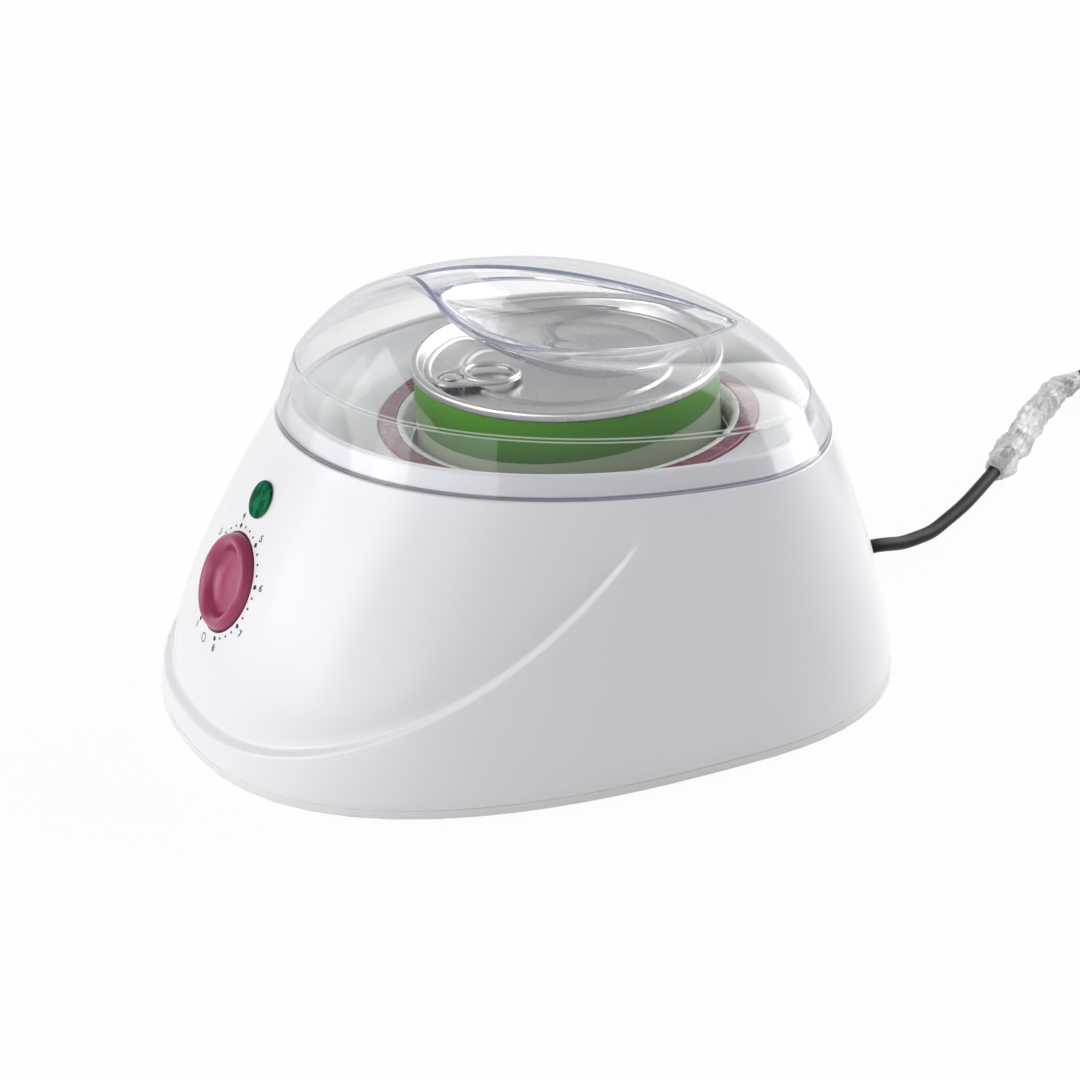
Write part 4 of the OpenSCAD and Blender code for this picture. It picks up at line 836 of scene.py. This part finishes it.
# how the band's edge leans, and the heights in metres between which each colour turns
lean_x, lean_y, edge_low, edge_high = 0.019, -0.079, 0.0934, 0.0938
fade_low, fade_high = 0.086, 0.104
across = add(paper, "Math", operation="MULTIPLY", values={0: x, 1: lean_x})
slant = add(paper, "Math", operation="MULTIPLY_ADD", values={0: y, 1: lean_y, 2: across})
level = add(paper, "Math", operation="ADD", values={0: z, 1: slant})
over_edge = add(paper, "MapRange", values={"Value": level, "From Min": edge_low,
                                           "From Max": edge_high})
high_up = add(paper, "MapRange", values={"Value": z, "From Min": fade_low,
                                         "From Max": fade_high})
green = add(paper, "Mix", data_type="RGBA",
            values={0: high_up, 6: linear("#1f5000"), 7: linear("#4a9408")})
add(paper, "Mix", "Base Color", 2, data_type="RGBA",
    values={0: over_edge, 6: linear("#9aa88c"), 7: green.outputs[2]})
grain(paper, 0.5, None, (0.08, 0.05))
label.data.materials.append(paper)
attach(label, "tin")
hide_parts("can_label")

# the end: rolled seam, countersink, a score bead and a pressed panel
p, t = panel_z, sheet_t
outline = [(0, p, 0), (r - 18.3, p, 0.6), (r - 17, p + 0.8, 0.6), (r - 16, p + 0.8, 0.6),
           (r - 14.7, p, 0.6), (r - 5.6, p, 0.5), (r - 4.8, p + 0.9, 0.4), (r - 3.9, p + 0.2, 0.4),
           (r - 2.9, p, 0.5), (r - 1.6, can_top - 0.9, 0.4), (r - 1.1, can_top, 0.6),
           (r + 1.3, can_top, 1.1), (r + 1.3, seam_z, 0.7), (r - 1.9, seam_z, 0),
           (r - 2.6, p - t, 0.4), (r - 3.6, p - t, 0.3), (r - 4.6, p + 0.9 - t, 0.3),
           (r - 5.2, p - t, 0.3), (r - 15.2, p - t, 0.4), (r - 16.2, p + 0.8 - t, 0.3),
           (r - 16.8, p + 0.8 - t, 0.3), (r - 17.8, p - t, 0.4), (0, p - t, 0)]
end = lathe("easy_open_end", eased(outline, 5), centre)
# rolled aluminium sheet: one brushed direction from the mill, with clear lacquer over it
sheet_alu = finish("lacquered_aluminium", "#cfcfce", Metallic=1.0)
grain(sheet_alu, 9, (0.24, 0.32), stretch=(0.1, 1, 1))
grain(sheet_alu, 0.9, None, (0.008, 0.05), (0.06, 1, 1))
end.data.materials.append(sheet_alu)
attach(end, "tin")
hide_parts("can_end")


# Pull tab and rivet
# Stamped aluminium tab with a curled ring for the finger, held by a rivet formed out of the
# end. The sheet left as a tongue round the rivet lets the tab hinge up on its nose.
polished("pull_tab", "pull_tab_aluminium", sheet_alu, "tab", 50, 0.25)
polished("tab_rivet", "formed_rivet", sheet_alu, "tin", 40, 0.2)

# cooled wax: honey yellow, with a soft sheen
plain("soft_wax", "#d9b45a", 3, ("wax_fill",), 0.35, 0.6, IOR=1.44)


# Lid
# Clear lid moulded in polystyrene, 2 mm thick. It stands on the ledge round the collar; a dome
# runs up to a leaf shaped grip, whose pan takes the fingers just above the tin.
skirt_h, skirt_in, crease_tilt, lid_t = 16, 7.5, 5.7, 2
grip_l, grip_w, grip_rise, grip_fall = 113.8, 87, 41.3, 24
grip_y0 = can_y + 61.5 - grip_l
bed_f, bed_b, pan_f = 13, 1.6, 20
pan_l, floor_z = 0.84 * grip_l - pan_f, can_top + 3.3


def crease_pt(a):
    q = rim_pt(a, skirt_in)
    q.z = rim_z + skirt_h - math.tan(math.radians(crease_tilt)) * (q.y - can_y)
    return q


def leaf(s):
    """Half width of the leaf, as a share of its widest, s of the way from front tip to back."""
    return max(s, 0) ** 0.48 * max(1 - s, 0) ** 0.78 / 0.4329


def edge_z(y):
    s = (y - grip_y0) / grip_l
    return (rim_z + grip_rise - grip_fall * s + 12 * s * (1 - s)
            + 10.8 * max(1 - s, 0) ** 18 - 1.6 * max(s, 0) ** 11)


def round_share(a):
    return (1 - cosd(a)) / 2, -1 if a > 180 else 1


def grip_pt(a):
    s, hand = round_share(a)
    y = grip_y0 + grip_l * s
    return Vector((hand * grip_w / 2 * leaf(s), y + 3.4 * (1 - s) ** 40, edge_z(y)))


def dip(y):
    return sind(180 * min(1, (y - grip_y0) / grip_l / 0.85))


def bed_z(y):
    return edge_z(y) - 0.3 - 2.1 * dip(y)


def bed_pt(a):
    s, hand = round_share(a)
    y = grip_y0 + bed_f + (grip_l - bed_f - bed_b) * s
    return Vector((hand * (grip_w / 2 - 5.4) * leaf(s), y, bed_z(y)))


def pan_z(y):
    d = max(0, can_y + 8 - y)
    return min(floor_z + 0.0089 * d * d, edge_z(y) - 1.2)


def pan_pt(a, k=1):
    y = grip_y0 + pan_f + pan_l * (0.5 + (round_share(a)[0] - 0.5) * k)
    return Vector(((grip_w / 2 - 16) * sind(a) * k, y, pan_z(y) - (1 - k) * 0.5))


def pan_wall_pt(a, k):
    """A point on the pan's wall, which drops steeply from the bed and then curves in."""
    low, high = pan_pt(a), bed_pt(a)
    q = low.lerp(high, k)
    q.z = low.z + (high.z - low.z) * (1 - (1 - k ** 2.2) ** 0.62)
    return q


def dome_pt(a, k):
    c, e = crease_pt(a), grip_pt(a)
    q = c.lerp(e, k)
    q.z = c.z + (e.z - c.z) * (1 - (1 - k) ** (1.8 + round_share(a)[0]))
    return q


def lid_column(a):
    pan = [pan_pt(a, k) for k in (0.001, 0.2, 0.4, 0.6, 0.75, 0.88)]
    shelf = bed_pt(a).lerp(grip_pt(a), 0.75) - Vector((0, 0, 0.5))
    walls = [pan_wall_pt(a, k) for k in (0.25, 0.5, 0.7, 0.85, 0.95)]
    turns = [(*walls[-1], 0), (*bed_pt(a), 0.35), (*shelf, 0.8), (*grip_pt(a), 0.5),
             (*dome_pt(a, 0.96), 0)]
    dome = [dome_pt(a, k) for k in
            (0.9, 0.83, 0.75, 0.66, 0.57, 0.48, 0.39, 0.31, 0.24, 0.17, 0.11)]
    foot = rim_pt(a, 0.3, 0.65)
    skirt = [(*dome_pt(a, 0.08), 0), (*crease_pt(a), 0.5), (*crease_pt(a).lerp(foot, 0.5), 1),
             (*foot, 0)]
    return (pan + [pan_pt(a, 0.97)] + walls[:-1] + eased(turns, 4, False) + dome
            + eased(skirt, 4, False))


lid = wrap("clear_lid", lid_column, shut=False)
only(lid)
bpy.ops.object.mode_set(mode="EDIT")
bpy.ops.mesh.select_all(action="SELECT")
bpy.ops.mesh.normals_make_consistent(inside=False)
bpy.ops.object.mode_set(mode="OBJECT")
walls = lid.modifiers.new("wall", "SOLIDIFY")
walls.thickness, walls.offset, walls.use_even_offset = lid_t * MM, -1, True
bpy.ops.object.modifier_apply(modifier="wall")
bpy.ops.object.shade_smooth_by_angle(angle=math.radians(50))
# crystal polystyrene: clear and glossy; where the wall is seen edge on its colour is painted grey
# as shade, and where a ray has bounced off it more than twice it glows a painted blue grey
clear_ps = finish("crystal_polystyrene", "#ffffff", Roughness=0.02, IOR=1.42,
                  Specular_IOR_Level=0.35, Transmission_Weight=1.0)
grain(clear_ps, 30, None, (0.03, 0.2))
spot = add(clear_ps, "TexCoord")
x, y, z = add(clear_ps, "SeparateXYZ", values={0: spot.outputs["Object"]}).outputs


def by_plane(tilt, high, near, far):
    """1 nearer than near to a plane that falls to the back by tilt, and 0 past far, in mm."""
    slope = math.tan(math.radians(tilt))
    height = add(clear_ps, "Math", operation="MULTIPLY_ADD", values={0: y, 1: slope, 2: z})
    over = add(clear_ps, "Math", operation="SUBTRACT",
               values={0: height, 1: (high + slope * can_y) * MM})
    away = add(clear_ps, "Math", operation="ABSOLUTE", values={0: over})
    return add(clear_ps, "MapRange", values={"Value": away, "From Min": near * MM,
                                             "From Max": far * MM, "To Min": 1.0, "To Max": 0.0})


# painted shade: seen edge on, the glass's colour turns grey
facing = add(clear_ps, "LayerWeight", values={"Blend": 0.5})
edge_on = add(clear_ps, "Math", operation="POWER", values={0: facing.outputs["Facing"], 1: 3.5})
painted_edge_shade = add(clear_ps, "Mix", data_type="RGBA",
                values={0: edge_on, 6: linear("#ffffff"), 7: linear("#979aa6")})
# painted shade: the foot all round is painted as a dark line, within about 1 mm of the ledge's
# plane
add(clear_ps, "Mix", "Base Color", 2, data_type="RGBA",
    values={0: by_plane(rim_tilt, rim_z, 1.0, 1.3), 6: painted_edge_shade.outputs[2],
            7: linear("#585c6a")})
# painted light: where a ray has bounced off the glass more than twice, the wall glows a flat blue
# grey (Emission) in place of the light that would go on through it
bounces = add(clear_ps, "LightPath")
painted_glow_where_bounced = add(clear_ps, "Math", operation="GREATER_THAN",
             values={0: bounces.outputs["Glossy Depth"], 1: 2.5})
line = add(clear_ps, "Emission", values={"Color": linear("#838aa0"), "Strength": 1.0})
with_painted_glows = add(clear_ps, "MixShader",
             values={0: painted_glow_where_bounced, 1: clear_ps.node_tree.nodes["Principled BSDF"], 2: line})
# painted highlight: a fine pale line glows along the crease round the lid
painted_crease_highlight = add(clear_ps, "Emission", values={"Color": linear("#e4e8ea"), "Strength": 1.0})
painted_highlight_share = add(clear_ps, "Math", operation="MULTIPLY",
            values={0: by_plane(crease_tilt, rim_z + skirt_h, 0.1, 0.3), 1: 0.4})
with_painted_glows = add(clear_ps, "MixShader", values={0: painted_highlight_share, 1: with_painted_glows, 2: painted_crease_highlight})
# the wall lets lamp light and soft light through to what it covers
lit = add(clear_ps, "Math", operation="MAXIMUM",
          values={0: bounces.outputs["Is Shadow Ray"], 1: bounces.outputs["Is Diffuse Ray"]})
through = add(clear_ps, "BsdfTransparent", values={"Color": linear("#f6f7f9")})
add(clear_ps, "MixShader", clear_ps.node_tree.nodes["Material Output"].inputs["Surface"],
    values={0: lit, 1: with_painted_glows, 2: through})
lid.data.materials.append(clear_ps)
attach(lid, "lid")
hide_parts("lid")


# Studio
# White sweep under five broad soft boxes: three in front that light the panel, and two stronger
# ones behind that light the back of the shell and leave its side a little darker.
def background_rays(owner):
    """Camera rays, and 1 for them and for rays through glass or off metal, 0 for the rest."""
    rays = add(owner, "LightPath").outputs
    glass = add(owner, "Math", operation="MAXIMUM",
                values={0: rays["Is Glossy Ray"], 1: rays["Is Transmission Ray"]})
    seen = add(owner, "Math", operation="MAXIMUM", values={0: rays["Is Camera Ray"], 1: glass})
    return rays["Is Camera Ray"], seen


bpy.ops.object.select_all(action="DESELECT")
bpy.ops.mesh.primitive_plane_add(size=6)
floor = bpy.context.object
floor.name = "studio_floor"
# matt white vinyl: it glows white where it is looked at, and a share of it takes the shadow
white = finish("white_sweep", "#f4f4f4", Roughness=0.9)
glow_share = add(white, "Math", operation="MULTIPLY",
                 values={0: background_rays(white)[1], 1: 0.96})
glow = add(white, "Emission", values={"Strength": 1.0})
add(white, "MixShader", white.node_tree.nodes["Material Output"].inputs["Surface"],
    values={0: glow_share, 1: white.node_tree.nodes["Principled BSDF"], 2: glow})
floor.data.materials.append(white)

# the room: white up to the top of the sweep, then a grey ceiling that glass and metal show
world = bpy.data.worlds.new("studio")
bpy.context.scene.world = world
world.use_nodes = True
for node in list(world.node_tree.nodes):
    world.node_tree.nodes.remove(node)
looked_at, seen = background_rays(world)
way = add(world, "TexCoord")
rise = add(world, "SeparateXYZ", values={0: way.outputs["Generated"]})
ceiling = add(world, "MapRange", values={"Value": rise.outputs["Z"], "From Min": 0.15,
                                         "From Max": 0.6, "To Min": 1.0, "To Max": 0.42})
shown = add(world, "Math", operation="MAXIMUM", values={0: ceiling, 1: looked_at})
soft = add(world, "Background", values={"Color": linear("#fcfcff"), "Strength": 0.08})
bright = add(world, "Background", values={"Strength": shown, "Color": (1, 1, 1, 1)})
room = add(world, "OutputWorld")
add(world, "MixShader", room.inputs["Surface"], values={0: seen, 1: soft, 2: bright})

box_side, box_aim = 3, Vector((0, 0, 0.05))


def soft_box(name, place, power):
    """A square lamp of so many watts, turned to face the middle of the warmer."""
    bpy.ops.object.light_add(type="AREA", location=place)
    made = bpy.context.object
    made.name = name
    made.data.shape, made.data.size, made.data.energy = "SQUARE", box_side, power
    made.rotation_euler = (box_aim - Vector(place)).to_track_quat("-Z", "Y").to_euler()


for name, place, power in (("high_key_box", (-0.4, -2.8, 1.9), 54),
                           ("low_key_box", (1.2, -2.6, 1.1), 32),
                           ("left_box", (-1.0, -2.8, 0.9), 22),
                           ("back_box", (0.3, 2.8, 0.9), 72),
                           ("high_back_box", (-0.8, 2.7, 1.4), 46)):
    soft_box(name, place, power)


# Finish
# The view layer is brought up to date.
bpy.context.view_layer.update()
